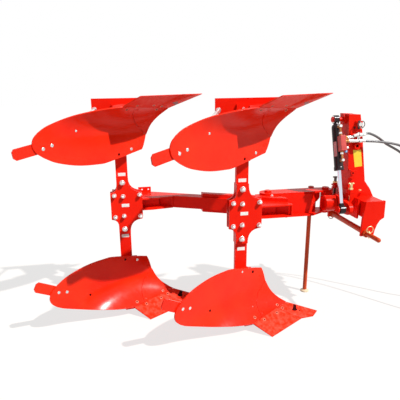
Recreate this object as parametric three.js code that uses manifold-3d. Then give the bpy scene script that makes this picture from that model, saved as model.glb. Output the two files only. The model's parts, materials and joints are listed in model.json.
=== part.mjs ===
// A two furrow hydraulic reversible plough, in millimetres.
// +X is the direction of travel, +Y is to the left of it, +Z is up.
// While it is built, x = 0 is the front leg, y = 0 is the outer face of the front leg plate
// and z = 0 is the turnover axis. At the end the whole plough is moved so that the origin is
// the middle of its footprint on the ground.

import * as THREE from 'three';
import { mergeVertices } from 'three/addons/utils/BufferGeometryUtils.js';
import { ConvexGeometry } from 'three/addons/geometries/ConvexGeometry.js';
import Module from 'manifold-3d';

const wasm = await Module();
wasm.setup();

// Driving dimensions
const axisHeight = 700; // turnover axis above the ground
const bodySpacing = 700; // from leg to leg along the travel
const furrowWidth = 356; // from body to body across the travel
const axisOffset = 146; // turnover axis to the outer face of the front leg plate
const crankRadius = 172; // turnover axis to the cylinder's rod pin
const mastPinHeight = 535; // upper cylinder pin above the axis
const cylinderForward = 630; // middle plane of the cylinder
const hitchHalfWidth = 388; // axis to the tip of a lower link pin
const hitchDrop = 144; // lower link pins below the axis
const hitchForward = 774; // lower link pins from the front leg
const clearance = 0.3; // between pieces that touch
const cutOverrun = 5; // how far a cutting tool passes the piece that it cuts
const roundSides = 20; // facets of a large round piece
const smallSides = 12; // facets of a small round piece

// Paints and metals
const paint = { red: 0xe8200c, darkRed: 0xb01208, black: 0x1d1a1c, zinc: 0xd9dde0, chrome: 0xf0f2f5,
  rubber: 0x17181a, steel: 0x8f9398 };
const redPaint = () => new THREE.MeshStandardMaterial({ color: paint.red, roughness: 0.35 });
const darkPaint = () => new THREE.MeshStandardMaterial({ color: paint.darkRed, roughness: 0.4 });
const blackPaint = () => new THREE.MeshStandardMaterial({ color: paint.black, roughness: 0.4 });
const zincPlate = () => new THREE.MeshStandardMaterial({ color: paint.zinc, roughness: 0.4, metalness: 0.9 });
const chromePlate = () => new THREE.MeshStandardMaterial({ color: paint.chrome, roughness: 0.1, metalness: 1 });
const blackRubber = () => new THREE.MeshStandardMaterial({ color: paint.rubber, roughness: 0.6 });

// Turns a closed geometry so that its faces point out
function outward(geometry) {
  const place = geometry.attributes.position;
  const order = geometry.index.array;
  const [a, b, c] = [new THREE.Vector3(), new THREE.Vector3(), new THREE.Vector3()];
  let volume = 0;
  for (let i = 0; i < order.length; i += 3) {
    a.fromBufferAttribute(place, order[i]);
    b.fromBufferAttribute(place, order[i + 1]);
    c.fromBufferAttribute(place, order[i + 2]);
    volume += a.dot(b.cross(c));
  }
  if (volume < 0) {
    for (let i = 0; i < order.length; i += 3) {
      [order[i], order[i + 1]] = [order[i + 1], order[i]];
    }
  }
  return geometry;
}

// Welds the corners of a geometry, keeping only their places
function welded(geometry) {
  const plain = geometry.clone();
  for (const name of Object.keys(plain.attributes)) {
    if (name !== 'position') plain.deleteAttribute(name);
  }
  return outward(mergeVertices(plain));
}

function toSolid(geometry) {
  const plain = welded(geometry);
  return new wasm.Manifold(new wasm.Mesh({
    numProp: 3,
    vertProperties: new Float32Array(plain.attributes.position.array),
    triVerts: new Uint32Array(plain.index.array),
  }));
}

function toGeometry(solid) {
  const mesh = solid.getMesh();
  const geometry = new THREE.BufferGeometry();
  geometry.setAttribute('position', new THREE.BufferAttribute(mesh.vertProperties, 3));
  geometry.setIndex(new THREE.BufferAttribute(mesh.triVerts, 1));
  return geometry;
}

function join(...pieces) {
  return toGeometry(pieces.map(toSolid).reduce((sum, piece) => sum.add(piece)));
}

function cut(piece, ...tools) {
  return toGeometry(tools.map(toSolid).reduce((rest, tool) => rest.subtract(tool), toSolid(piece)));
}

function common(first, second) {
  return toGeometry(toSolid(first).intersect(toSolid(second)));
}

// A closed outline from pairs
function outline(points) {
  return new THREE.Shape(points.map(([a, b]) => new THREE.Vector2(a, b)));
}

function slab(shape, thickness) {
  return new THREE.ExtrudeGeometry(shape, { depth: thickness, bevelEnabled: false, curveSegments: 6 });
}

// Plates square to one axis: the outline is in Y,Z or X,Z or X,Y, the plate runs from one place on
const axes = { x: new THREE.Vector3(1, 0, 0), y: new THREE.Vector3(0, 1, 0), z: new THREE.Vector3(0, 0, 1) };
const turnToX = new THREE.Matrix4().makeBasis(axes.y, axes.z, axes.x);
function plateX(shape, from, thickness) {
  return slab(shape, thickness).applyMatrix4(turnToX).translate(from, 0, 0);
}
function plateY(shape, from, thickness) {
  return slab(shape, thickness).rotateX(Math.PI / 2).translate(0, from + thickness, 0);
}
function plateZ(shape, from, thickness) {
  return slab(shape, thickness).translate(0, 0, from);
}

// A box between two corners
function block([x0, y0, z0], [x1, y1, z1]) {
  return new THREE.BoxGeometry(x1 - x0, y1 - y0, z1 - z0)
    .translate((x0 + x1) / 2, (y0 + y1) / 2, (z0 + z1) / 2);
}

// A round bar from one place to another
function bar(from, to, radius, sides = smallSides, endRadius = radius) {
  const start = new THREE.Vector3(...from);
  const run = new THREE.Vector3(...to).sub(start);
  const geometry = new THREE.CylinderGeometry(endRadius, radius, run.length(), sides);
  const turn = new THREE.Quaternion().setFromUnitVectors(axes.y, run.clone().normalize());
  return geometry.applyQuaternion(turn).translate(...start.addScaledVector(run, 1 / 2).toArray());
}

// A turned piece: pairs of distance along the axis and radius, closed on the axis at both ends
function turned(profile, sides = roundSides) {
  const points = profile.map(([along, radius]) => new THREE.Vector2(radius, along));
  return new THREE.LatheGeometry(points, sides);
}
const turnedAlongX = (profile, sides) => turned(profile, sides).rotateZ(-Math.PI / 2);
const turnedAlongZ = (profile, sides) => turned(profile, sides).rotateX(Math.PI / 2);

// A tube of round section along a curve
function tube(curve, radius, steps, sides) {
  const section = new THREE.Shape();
  for (let i = 0; i < sides; i += 1) {
    const angle = (i * 2 * Math.PI) / sides;
    const point = [radius * Math.cos(angle), radius * Math.sin(angle)];
    if (i === 0) section.moveTo(...point);
    else section.lineTo(...point);
  }
  section.closePath();
  return new THREE.ExtrudeGeometry(section, { extrudePath: curve, steps, bevelEnabled: false });
}

// Turning moves a piece to the other side of the turnover axis plane
function mirrored(geometry) {
  return outward(welded(geometry).scale(1, 1, -1));
}

const plough = new THREE.Group();
function add(name, geometry, material, group = plough) {
  const mesh = new THREE.Mesh(welded(geometry), material);
  mesh.name = name;
  group.add(mesh);
  return mesh;
}

// Working face of a body
// The face is ruled by level lines that stand at one angle to the travel. A place on it is given
// by p, the distance back along such a line, and h, the height above the ground. The depth says
// how far the face stands out, square to the lines.
const generatorAngle = THREE.MathUtils.degToRad(29);
const boardThickness = 8;
const boardUpright = 50; // depth of the upright upper part
const boardBendHeight = 235; // where the face becomes upright
const boardFootReach = 241; // how far the foot would stand in front of the upright part
const footFullBack = 60; // the foot stands out in full up to here
const footFlatBack = 480; // and no more from here on
const footFadePower = 1.6;
const boardLength = 600; // from the leg's line to the tail
const boardTop = 396; // highest point above the ground
const boardTailLean = 28; // how far the tail leans out over the furrow
const shinCurl = 22; // how far the shin curls out
const shinCurlLength = 160;
const shinFootBack = -275;
const shinFootHeight = 85;
const shinCurlTop = 345;
const wingTopBack = 65; // where the mouldboard, the share and its wing meet
const wingTopHeight = 63;
const seamGap = 0.6;

function faceDepth(p, h) {
  const bend = Math.max(boardBendHeight - h, 0) / boardBendHeight;
  const lean = Math.max(p, 0) / boardLength;
  const fade = THREE.MathUtils.clamp((p - footFullBack) / (footFlatBack - footFullBack), 0, 1);
  const rise = (h - shinFootHeight) / (shinCurlTop - shinFootHeight);
  const curl = Math.max(4 * rise * (1 - rise), 0) * (Math.min(p, 0) / shinCurlLength) ** 2;
  const foot = boardFootReach * bend ** 2 * (1 - fade ** footFadePower);
  return boardUpright + foot + boardTailLean * lean ** 2 + shinCurl * curl;
}

function facePlace(p, h, depth = faceDepth(p, h)) {
  const [c, s] = [Math.cos(generatorAngle), Math.sin(generatorAngle)];
  return new THREE.Vector3(-p * c + depth * s, -p * s - depth * c, h - axisHeight);
}

const faceStep = 1; // length over which the slope of the face is taken
function faceNormal(p, h) {
  const back = facePlace(p + faceStep, h).sub(facePlace(p - faceStep, h));
  const up = facePlace(p, h + faceStep).sub(facePlace(p, h - faceStep));
  return up.cross(back).normalize();
}

// Fills four boundary rows of points with an even grid: rows from bottom to top
function coonsGrid(bottom, top, left, right) {
  const [columns, rows] = [bottom.length - 1, left.length - 1];
  const blend = (a, b, t) => new THREE.Vector2().lerpVectors(a, b, t);
  return left.map((start, j) => bottom.map((foot, i) => {
    const [u, v] = [i / columns, j / rows];
    const corners = blend(blend(bottom[0], bottom[columns], u), blend(top[0], top[columns], u), v);
    return blend(foot, top[i], v).add(blend(start, right[j], u)).sub(corners);
  }));
}

// A plate whose outer face lies a given depth behind the working face
function curvedPlate(grid, thickness, behind = 0) {
  const [rows, columns] = [grid.length, grid[0].length];
  const place = [];
  for (const depth of [behind, behind + thickness]) {
    for (const row of grid) {
      for (const { x: p, y: h } of row) {
        place.push(...facePlace(p, h).addScaledVector(faceNormal(p, h), -depth).toArray());
      }
    }
  }
  return closedSheet(place, rows, columns);
}

// Closes two equal grids of points, front and back, into one solid
function closedSheet(place, rows, columns) {
  const order = [];
  const at = (side, j, i) => side * rows * columns + j * columns + i;
  const quad = (a, b, c, d) => order.push(a, b, c, a, c, d);
  for (let j = 0; j + 1 < rows; j += 1) {
    for (let i = 0; i + 1 < columns; i += 1) {
      quad(at(0, j, i), at(0, j, i + 1), at(0, j + 1, i + 1), at(0, j + 1, i));
      quad(at(1, j, i), at(1, j + 1, i), at(1, j + 1, i + 1), at(1, j, i + 1));
    }
    quad(at(0, j, 0), at(0, j + 1, 0), at(1, j + 1, 0), at(1, j, 0));
    quad(at(0, j, columns - 1), at(1, j, columns - 1), at(1, j + 1, columns - 1), at(0, j + 1, columns - 1));
  }
  for (let i = 0; i + 1 < columns; i += 1) {
    quad(at(0, 0, i), at(1, 0, i), at(1, 0, i + 1), at(0, 0, i + 1));
    quad(at(0, rows - 1, i), at(0, rows - 1, i + 1), at(1, rows - 1, i + 1), at(1, rows - 1, i));
  }
  const geometry = new THREE.BufferGeometry();
  geometry.setAttribute('position', new THREE.BufferAttribute(new Float32Array(place), 3));
  geometry.setIndex(order);
  return outward(geometry);
}

// Points in p and h, given as shares of the board's length and top height
const boardPoints = (shares) => shares.map(([p, h]) => new THREE.Vector2(p * boardLength, h * boardTop));
const splinePoints = (points, count) => new THREE.SplineCurve(points).getSpacedPoints(count);
const linePoints = (from, to, count) => new THREE.LineCurve(from, to).getSpacedPoints(count);
const chained = (first, second) => [...first, ...second.slice(1)];
const shifted = (points, p, h) => points.map((point) => new THREE.Vector2(point.x + p, point.y + h));

// The line where the share meets the mouldboard and the shin
const shinFoot = new THREE.Vector2(shinFootBack, shinFootHeight);
const wingTop = new THREE.Vector2(wingTopBack, wingTopHeight);
function onShareLine(p) {
  const t = (p - shinFoot.x) / (wingTop.x - shinFoot.x);
  return new THREE.Vector2().lerpVectors(shinFoot, wingTop, t);
}

// Outlines of the mouldboard and of the shin, in front of it
const seamFootBack = -20;
const seamShares = [[-0.045, 0.247], [-0.083, 0.343], [-0.142, 0.455], [-0.195, 0.528], [-0.252, 0.624]];
const shinEdgeShares = [[-0.37, 0.318], [-0.307, 0.437], [-0.265, 0.586], [-0.252, 0.624]];
const shinTopShares = [[-0.252, 0.624], [-0.233, 0.773], [-0.215, 0.848]];
const boardTopShares = [[-0.215, 0.848], [0.183, 0.985], [0.317, 1], [0.53, 0.978], [0.74, 0.902],
  [0.865, 0.81]];
const boardTailShares = [[0.9, 0.455], [0.95, 0.53], [0.966, 0.62], [0.938, 0.723], [0.865, 0.81]];
const boardFootShares = [[0.25, 0.179], [0.393, 0.21], [0.59, 0.27], [0.8, 0.372], [0.9, 0.455]];
const seamRows = 9;
const crownRows = 2;
const footColumns = 1;
const boardColumns = 9;
const shinRows = 5;
const shinColumns = seamRows - shinRows;

// The seam is sampled once, so that the facets of the two plates agree along it
function seamPoints(offset) {
  const foot = onShareLine(seamFootBack).add(new THREE.Vector2(0, seamGap));
  return shifted(splinePoints([foot, ...boardPoints(seamShares)], seamRows), offset, offset);
}

function mouldboardGrid(play) {
  const seam = seamPoints(play / 2);
  const shinTop = shifted(boardPoints(shinTopShares), play / 2, play / 2);
  const corner = new THREE.Vector2(wingTop.x, wingTop.y + seamGap);
  const left = chained(seam, splinePoints(shinTop, crownRows));
  const right = splinePoints(boardPoints(boardTailShares), seamRows + crownRows);
  const bottom = chained(linePoints(seam[0], corner, footColumns),
    splinePoints([corner, ...boardPoints(boardFootShares)], boardColumns));
  const top = splinePoints([shinTop.at(-1), ...boardPoints(boardTopShares).slice(1)],
    footColumns + boardColumns);
  return coonsGrid(bottom, top, left, right);
}

function shinGrid(play) {
  const seam = seamPoints(-play / 2);
  const foot = new THREE.Vector2(shinFoot.x, shinFoot.y + seamGap);
  const edge = [foot, ...boardPoints(shinEdgeShares).slice(0, -1), seam[seamRows]];
  const left = splinePoints(edge, shinRows);
  const right = seam.slice(0, shinRows + 1);
  const top = seam.slice(shinRows).reverse();
  const bottom = linePoints(foot, seam[0], shinColumns);
  return coonsGrid(bottom, top, left, right);
}

const mouldboard = () => curvedPlate(mouldboardGrid(seamGap), boardThickness);
const shin = () => curvedPlate(shinGrid(seamGap), boardThickness);

// The space that the two plates take up, with the gap behind them, which nothing else may fill
const plateSpace = (grid) => curvedPlate(grid, boardThickness + cutOverrun + clearance, -cutOverrun);
const boardSpace = plateSpace(mouldboardGrid(0));

// Share and chisel point
const shareThickness = 10;
const shareLip = 4; // thickness left at the cutting edge
const shareSteps = 4;
const pointGap = 1.8; // between the share and the point, along the share's upper line
const pointHeelBack = -172; // where the point's heel ends on the share's upper line
const edgeFront = { forward: 386, out: 83 }; // front end of the share's cutting edge
const wingTip = { forward: 125, out: 262 };
const pointTip = { forward: 527, out: 6 };
const pointShoulder = { forward: 470, out: 71 }; // outer end of the point's own cutting edge
const pointThickness = 14;
const onGround = ({ forward, out }, height = 0) => new THREE.Vector3(forward, -out, height - axisHeight);

function share() {
  const corner = onGround(edgeFront);
  const edge = onGround(wingTip).sub(corner).normalize();
  const cuttingStart = corner.clone().addScaledVector(edge, pointGap);
  const place = [];
  const front = [];
  for (let j = 0; j <= 1; j += 1) {
    for (let i = 0; i <= shareSteps; i += 1) {
      const p = THREE.MathUtils.lerp(pointHeelBack + pointGap, wingTop.x, i / shareSteps);
      const line = onShareLine(p);
      const upper = facePlace(line.x, line.y);
      const lower = new THREE.Vector3().lerpVectors(cuttingStart, onGround(wingTip), i / shareSteps);
      front.push(j === 0 ? lower.clone().setZ(shareLip - axisHeight) : upper);
    }
  }
  const across = front[shareSteps].clone().sub(front[0]);
  const upward = front[shareSteps + 1].clone().sub(front[0]);
  const normal = across.cross(upward).normalize();
  if (normal.z < 0) normal.negate();
  for (const point of front) place.push(...point.toArray());
  front.forEach((point, i) => {
    const back = i <= shareSteps ? point.clone().setZ(-axisHeight)
      : point.clone().addScaledVector(normal, -shareThickness);
    place.push(...back.toArray());
  });
  return closedSheet(place, 2, shareSteps + 1);
}

function chiselCorners() {
  const heel = onShareLine(pointHeelBack);
  return {
    toe: onGround(pointTip, shareLip),
    heelInner: facePlace(shinFoot.x, shinFoot.y),
    heelOuter: facePlace(heel.x, heel.y),
    side: onGround(edgeFront, shareLip),
    shoulder: onGround(pointShoulder, shareLip),
  };
}

function chiselNormal({ heelInner, toe, side }) {
  return toe.clone().sub(heelInner).cross(side.clone().sub(heelInner)).normalize().negate();
}

function chiselPoint() {
  const corners = chiselCorners();
  const normal = chiselNormal(corners);
  if (normal.z < 0) normal.negate();
  const under = (point) => point.clone().addScaledVector(normal, -pointThickness);
  const grounded = (point) => point.clone().setZ(-axisHeight);
  const { toe, heelInner, heelOuter, side, shoulder } = corners;
  return new ConvexGeometry([toe, heelInner, heelOuter, side, shoulder, under(heelInner),
    under(heelOuter), grounded(toe), grounded(side), grounded(shoulder)]);
}

// Leg and frog. The leg is a flat bar behind the leg plate, the frog is welded to its foot.
const plateThickness = 16;
const legWidth = 75;
const legThickness = 30;
const legTopDrop = 46; // from the axis to the upper end of the leg
const legFootHeight = 112; // lower end above the ground
const legNear = plateThickness + clearance;
const legFar = legNear + legThickness;
const frogThickness = 14;
const frogNear = 26;
const frogFar = frogNear + frogThickness;
const seatThickness = 12;
const frogHeelHeight = 55;
const frogTop = 300;
const frogBackStep = 6; // how far the frog plate stays behind the shin
const earHeights = [306, 370];
const earReach = [-14, 66];
const earGap = 0.2; // more room for the flat ear behind the slightly bent board
const ribThickness = 12;
const ribBehind = 17; // from the face to a rib's edge, inside the seat plate
const ribSteps = 4;
const ribHeights = [104, 214, 330];
const ribReach = [[-205, 20], [-150, 10], [-62, 52]];
const seatHeights = [92, 232];
const seatPoints = 3; // points across the mouldboard's facets that the seat also carries

function faceGrid([p0, p1], [h0, h1], columns, rows) {
  const corner = (p, h) => new THREE.Vector2(p, h);
  return coonsGrid(linePoints(corner(p0, h0), corner(p1, h0), columns),
    linePoints(corner(p0, h1), corner(p1, h1), columns),
    linePoints(corner(p0, h0), corner(p0, h1), rows), linePoints(corner(p1, h0), corner(p1, h1), rows));
}

function frogPlate() {
  const edge = [];
  for (const t of [0, 0.25, 0.5, 0.75, 1]) {
    const h = THREE.MathUtils.lerp(seatHeights[0], frogTop, t);
    const p = edgeBackAt(h);
    edge.push([facePlace(p, h).x - frogBackStep - boardThickness * 2, h - axisHeight]);
  }
  const foot = frogHeelHeight - axisHeight;
  const rear = -legWidth / 2;
  const toe = facePlace(shinFoot.x, shinFoot.y).x;
  return plateY(outline([[rear, foot], [toe, foot], ...edge, [rear, frogTop - axisHeight]]),
    frogNear, frogThickness);
}

// How far forward the shin's edge is at a height, along the level lines
function edgeBackAt(h) {
  const points = [shinFoot, ...boardPoints(shinEdgeShares), ...boardPoints(shinTopShares).slice(1)];
  for (let i = 0; i + 1 < points.length; i += 1) {
    if (h <= points[i + 1].y) {
      const t = (h - points[i].y) / (points[i + 1].y - points[i].y);
      return THREE.MathUtils.lerp(points[i].x, points[i + 1].x, t);
    }
  }
  return points.at(-1).x;
}

// A gusset at one height, from the leg and the frog plate to the seat behind the face
function rib(reach, i) {
  const height = ribHeights[i];
  const level = height + ribThickness;
  const edge = linePoints(new THREE.Vector2(reach[0], level), new THREE.Vector2(reach[1], level), ribSteps)
    .map(({ x: p, y: h }) => facePlace(p, h, faceDepth(p, h) - ribBehind));
  const inner = (legNear + legFar) / 2;
  const front = Math.min(edge[0].x, facePlace(...reach, boardUpright).x * 2);
  return plateZ(outline([...edge.map(({ x, y }) => [x, y]), [-legWidth / 2 + clearance, inner], [front, inner]]),
    height - axisHeight, ribThickness);
}

function leg() {
  const half = legWidth / 2;
  const upright = block([-half, legNear, legFootHeight - axisHeight], [half, legFar, -legTopDrop]);
  const behind = boardThickness + clearance;
  const board = mouldboardGrid(0);
  const seatGrid = shinGrid(0).map((row, j) => [...row, ...board[j].slice(1, seatPoints)]);
  const seat = curvedPlate(seatGrid, seatThickness, behind);
  const ear = curvedPlate(faceGrid(earReach, earHeights, 2, 1), seatThickness, behind + earGap);
  return join(upright, frogPlate(), seat, ear, ...ribReach.map(rib), shareSeat());
}

// The frog's foot, under the share and the point
const seatToeShare = 0.45;
const seatHeelBack = 0;
function shareSeat() {
  const corners = chiselCorners();
  const normal = chiselNormal(corners);
  if (normal.z < 0) normal.negate();
  const { toe, heelInner, heelOuter, side } = corners;
  const lower = (point) => point.clone().addScaledVector(normal, -pointThickness - clearance);
  const heel = onShareLine(seatHeelBack);
  const top = [lower(heelInner.clone().lerp(heelOuter, 1 / 10)), lower(heelInner.clone().lerp(toe, seatToeShare)),
    lower(heelOuter.clone().lerp(side, seatToeShare)), lower(facePlace(heel.x, heel.y))];
  const bottom = top.map((point) => point.clone().addScaledVector(axes.z, -seatThickness));
  const inner = bottom[0].clone().setY(frogNear + clearance);
  return join(new ConvexGeometry([...top, ...bottom]), new ConvexGeometry([top[0], bottom[0], top[1], bottom[1],
    inner, inner.clone().setZ(top[0].z), inner.clone().setX(top[1].x).setZ(bottom[1].z)]));
}

// Landside, the flat plate that runs along the furrow wall, with the stay to the mouldboard
const landsideRear = -160;
const landsideFront = 285;
const landsideHeights = [20, 107];
const landsideThickness = 10;
const landsideNear = frogFar + clearance;
const stayRadius = 10;
const stayHeight = 82;
const stayInset = 22;
const stayBoard = [395, 205];
function landside() {
  const [low, high] = landsideHeights.map((h) => h - axisHeight);
  const toe = landsideFront - landsideHeights[1] / 2;
  const plate = plateY(outline([[landsideRear, low], [landsideFront, low], [toe, high], [landsideRear, high]]),
    landsideNear, landsideThickness);
  const end = facePlace(...stayBoard).addScaledVector(faceNormal(...stayBoard), -boardThickness - clearance);
  const start = [landsideRear + stayInset, landsideNear + clearance, stayHeight - axisHeight];
  return cut(join(plate, bar(start, end.toArray(), stayRadius, smallSides / 2), stayFoot()), boardSpace);
}

// The stay's end plate lies against the back of the mouldboard
const stayFootSize = 26;
function stayFoot() {
  const [p, h] = stayBoard;
  return curvedPlate(faceGrid([p - stayFootSize, p + stayFootSize], [h - stayFootSize, h + stayFootSize], 2, 2),
    seatThickness / 2, boardThickness + clearance);
}

// Tail piece, the flat bar that lengthens the mouldboard
const tailThickness = 10;
const tailWidth = 62;
const tailStart = { lower: [440, 226], upper: [432, 248] };
const tailEnd = { lower: [655, 348], upper: [688, 288] };
const tailCorner = 14;
const tailSteps = 3;
function tailPiece(level) {
  const half = tailWidth / 2;
  const from = new THREE.Vector2(...tailStart[level]);
  const to = new THREE.Vector2(...tailEnd[level]);
  const side = to.clone().sub(from).normalize();
  const across = new THREE.Vector2(-side.y, side.x).multiplyScalar(half);
  const cornerCut = across.clone().multiplyScalar(1 - tailCorner / half);
  const inner = to.clone().addScaledVector(side, -tailCorner);
  const rim = (sign) => [
    ...linePoints(from.clone().addScaledVector(across, sign), inner.clone().addScaledVector(across, sign), tailSteps),
    to.clone().addScaledVector(cornerCut, sign)];
  const [bottom, top] = [rim(-1), rim(1)];
  const grid = coonsGrid(bottom, top, [bottom[0], top[0]], [bottom.at(-1), top.at(-1)]);
  return cut(curvedPlate(grid, tailThickness, boardThickness + clearance), boardSpace);
}

// The four bodies: front and rear, each with its upper twin mirrored about the axis
const bodyPieces = { leg, mouldboard, shin, share, chisel_point: chiselPoint, landside, tail_piece: tailPiece };
const beamGroup = new THREE.Group();
plough.add(beamGroup);
for (const [row, back] of [['front', 0], ['rear', 1]]) {
  const station = new THREE.Group();
  station.position.set(-back * bodySpacing, back * furrowWidth, 0);
  beamGroup.add(station);
  for (const [piece, make] of Object.entries(bodyPieces)) {
    add(`${row}_lower_${piece}`, make('lower'), redPaint(), station);
    add(`${row}_upper_${piece}`, mirrored(make('upper')), redPaint(), station);
  }
}

// Leg plate: one plate holds the upper and the lower leg, with eight domed bolts
const plateTop = 188;
const plateTopHalf = 38;
const plateWaist = { front: 118, rear: 82, height: 92 };
const plateFlank = 76; // height at which the flanks become upright
const plateNeck = { front: 172, rear: 138 }; // where the concave shoulders start
const boltPlaces = [[0, 156], [-56, 72], [0, 66], [107, 72]];
const boltHeads = [15, 12, 12, 12];
const boltHeight = 26;
const boltSides = 8;
const boltCrownShare = 0.6;
const plateLip = 5;
function plateOutline() {
  const shape = new THREE.Shape();
  const { front, rear, height } = plateWaist;
  shape.moveTo(-plateTopHalf, plateTop);
  shape.lineTo(-plateTopHalf, plateNeck.rear);
  shape.quadraticCurveTo(-plateTopHalf, height, -rear, height - cutOverrun);
  shape.lineTo(-rear, -height + cutOverrun);
  shape.quadraticCurveTo(-plateTopHalf, -height, -plateTopHalf, -plateNeck.rear);
  shape.lineTo(-plateTopHalf, -plateTop);
  shape.lineTo(plateTopHalf, -plateTop);
  shape.lineTo(plateTopHalf, -plateNeck.front);
  shape.quadraticCurveTo(plateTopHalf + cutOverrun, -height - cutOverrun, front, -height);
  shape.lineTo(front + plateLip, -plateFlank);
  shape.lineTo(front + plateLip, plateFlank);
  shape.lineTo(front, height);
  shape.quadraticCurveTo(plateTopHalf + cutOverrun, height + cutOverrun, plateTopHalf, plateNeck.front);
  shape.lineTo(plateTopHalf, plateTop);
  return shape;
}

function eachBolt(make) {
  return boltPlaces.flatMap(([x, z], i) => [1, -1].map((side) => make(x, z * side, boltHeads[i])));
}

function legPlate() {
  const heads = eachBolt((x, z, radius) => bar([x, plateThickness / 2, z], [x, -boltHeight, z], radius, boltSides,
    radius * boltCrownShare));
  return join(plateY(plateOutline(), 0, plateThickness), ...heads);
}

// Leg bracket: flanges and web welded to the slanting beam, with the back plate of the legs
const beamSlope = furrowWidth / bodySpacing;
const beamSize = 80;
const beamNearAtLeg = 220; // from the outer face of the leg plate to the beam's near face
const beamWall = 8;
const beamNear = (x) => beamNearAtLeg - beamSlope * x;
const beamAcross = beamSize * Math.hypot(1, beamSlope);
const backPlateThickness = 16;
const flangeThickness = 9;
const bracketNear = plateThickness + clearance;
const bracketTip = { front: { at: 328, taper: 0 }, rear: { at: 330, taper: 130 } };
const bracketWebInset = 66;
const webThickness = 10;
const nutRadius = 15;
const nutHeight = 14;
const spacerRadius = 18;
const bracketRear = -24;
const gap = clearance * Math.hypot(1, beamSlope);

function legBracket({ at: tip, taper }) {
  const half = beamSize / 2;
  const near = (x) => beamNear(x) - gap;
  const tipNear = taper ? near(tip) - flangeThickness : Math.min(bracketNear, near(tip) - flangeThickness);
  const flange = outline([[bracketRear, bracketNear], [tip - taper - flangeThickness, bracketNear], [tip, tipNear],
    [tip, near(tip)], [bracketRear, near(bracketRear)]]);
  const endPlate = block([tip - flangeThickness, tipNear, flangeThickness / 2 - half],
    [tip, near(tip), half - flangeThickness / 2]);
  const flanges = [half - flangeThickness, -half].map((z) => plateZ(flange, z, flangeThickness));
  const webY = bracketNear + bracketWebInset;
  const webEnd = Math.min(tip, (beamNearAtLeg - webY - webThickness) / beamSlope - webThickness);
  const web = block([bracketRear, webY, -half], [webEnd, webY + webThickness, half]);
  const cross = block([-webThickness, webY, -half], [0, near(0) - webThickness / 2, half]);
  const back = plateY(plateOutline(), legFar + clearance, backPlateThickness);
  const nuts = eachBolt((x, z) => bar([x, legFar, z].map((v, i) => (i === 1 ? v + backPlateThickness : v)),
    [x, legFar + backPlateThickness + nutHeight, z], nutRadius, 6));
  const spacers = [1, 3].flatMap((i) => [1, -1].map((side) => {
    const [x, z] = [boltPlaces[i][0], boltPlaces[i][1] * side];
    return bar([x, bracketNear, z], [x, legFar + cutOverrun, z], spacerRadius, smallSides / 2);
  }));
  return join(...flanges, endPlate, web, cross, back, ...nuts, ...spacers);
}

for (const [row, back] of [['front', 0], ['rear', 1]]) {
  const station = new THREE.Group();
  station.position.set(-back * bodySpacing, back * furrowWidth, 0);
  beamGroup.add(station);
  add(`${row}_leg_plate`, legPlate(), redPaint(), station);
  add(`${row}_leg_bracket`, legBracket(back ? bracketTip.rear : bracketTip.front), redPaint(), station);
}

// Main beam: a square tube, open at its rear end, with a lug on top
const beamRearBack = 770;
const beamHeadStart = 150; // where the tube ends and the head begins
const lug = { back: 590, length: 88, height: 34, thickness: 10, hole: 6 };
const lugHoleShares = [0.3, 0.8];
function beamOutline(from, to, inset) {
  const near = (x) => beamNear(x) + inset * Math.hypot(1, beamSlope);
  const far = (x) => beamNear(x) + beamAcross - inset * Math.hypot(1, beamSlope);
  return outline([[from, near(from)], [to, near(to)], [to, far(to)], [from, far(from)]]);
}

function mainBeam() {
  const half = beamSize / 2;
  const tubeBody = plateZ(beamOutline(-beamRearBack, beamHeadStart - clearance, 0), -half, beamSize);
  const bore = plateZ(beamOutline(-beamRearBack - cutOverrun, beamHeadStart - beamWall * 2, beamWall),
    beamWall - half, beamSize - beamWall * 2);
  const y = beamNear(-lug.back) + beamAcross / 2;
  const ear = block([-lug.back, y, half - beamWall / 2], [lug.length - lug.back, y + lug.thickness, half + lug.height]);
  const holes = lugHoleShares.map((share) => {
    const [x, z] = [-lug.back + lug.length * share, half + lug.height / 2];
    return bar([x, y - cutOverrun, z], [x, y + lug.thickness + cutOverrun, z], lug.hole, smallSides / 2);
  });
  return join(cut(tubeBody, bore), cut(ear, ...holes));
}
add('main_beam', mainBeam(), redPaint(), beamGroup);

// Swing frame and its pins
const swingHalf = 75; // half of the frame's height
const swingPlate = 12;
const swingInner = swingHalf - swingPlate;
const swingPivot = { x: 235, y: 228, radius: 55 };
const frontPin = { x: 640, y: 235, radius: 42 };
const pinRadius = 16;
const pinHeadRadius = 24;
const pinHeadHeight = 12;
const swingNearTop = 173;
const swingNearBottom = 126;
const swingFar = 283;
const swingWeb = { start: 302, bend: 515, end: 578, thickness: 10 };

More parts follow.
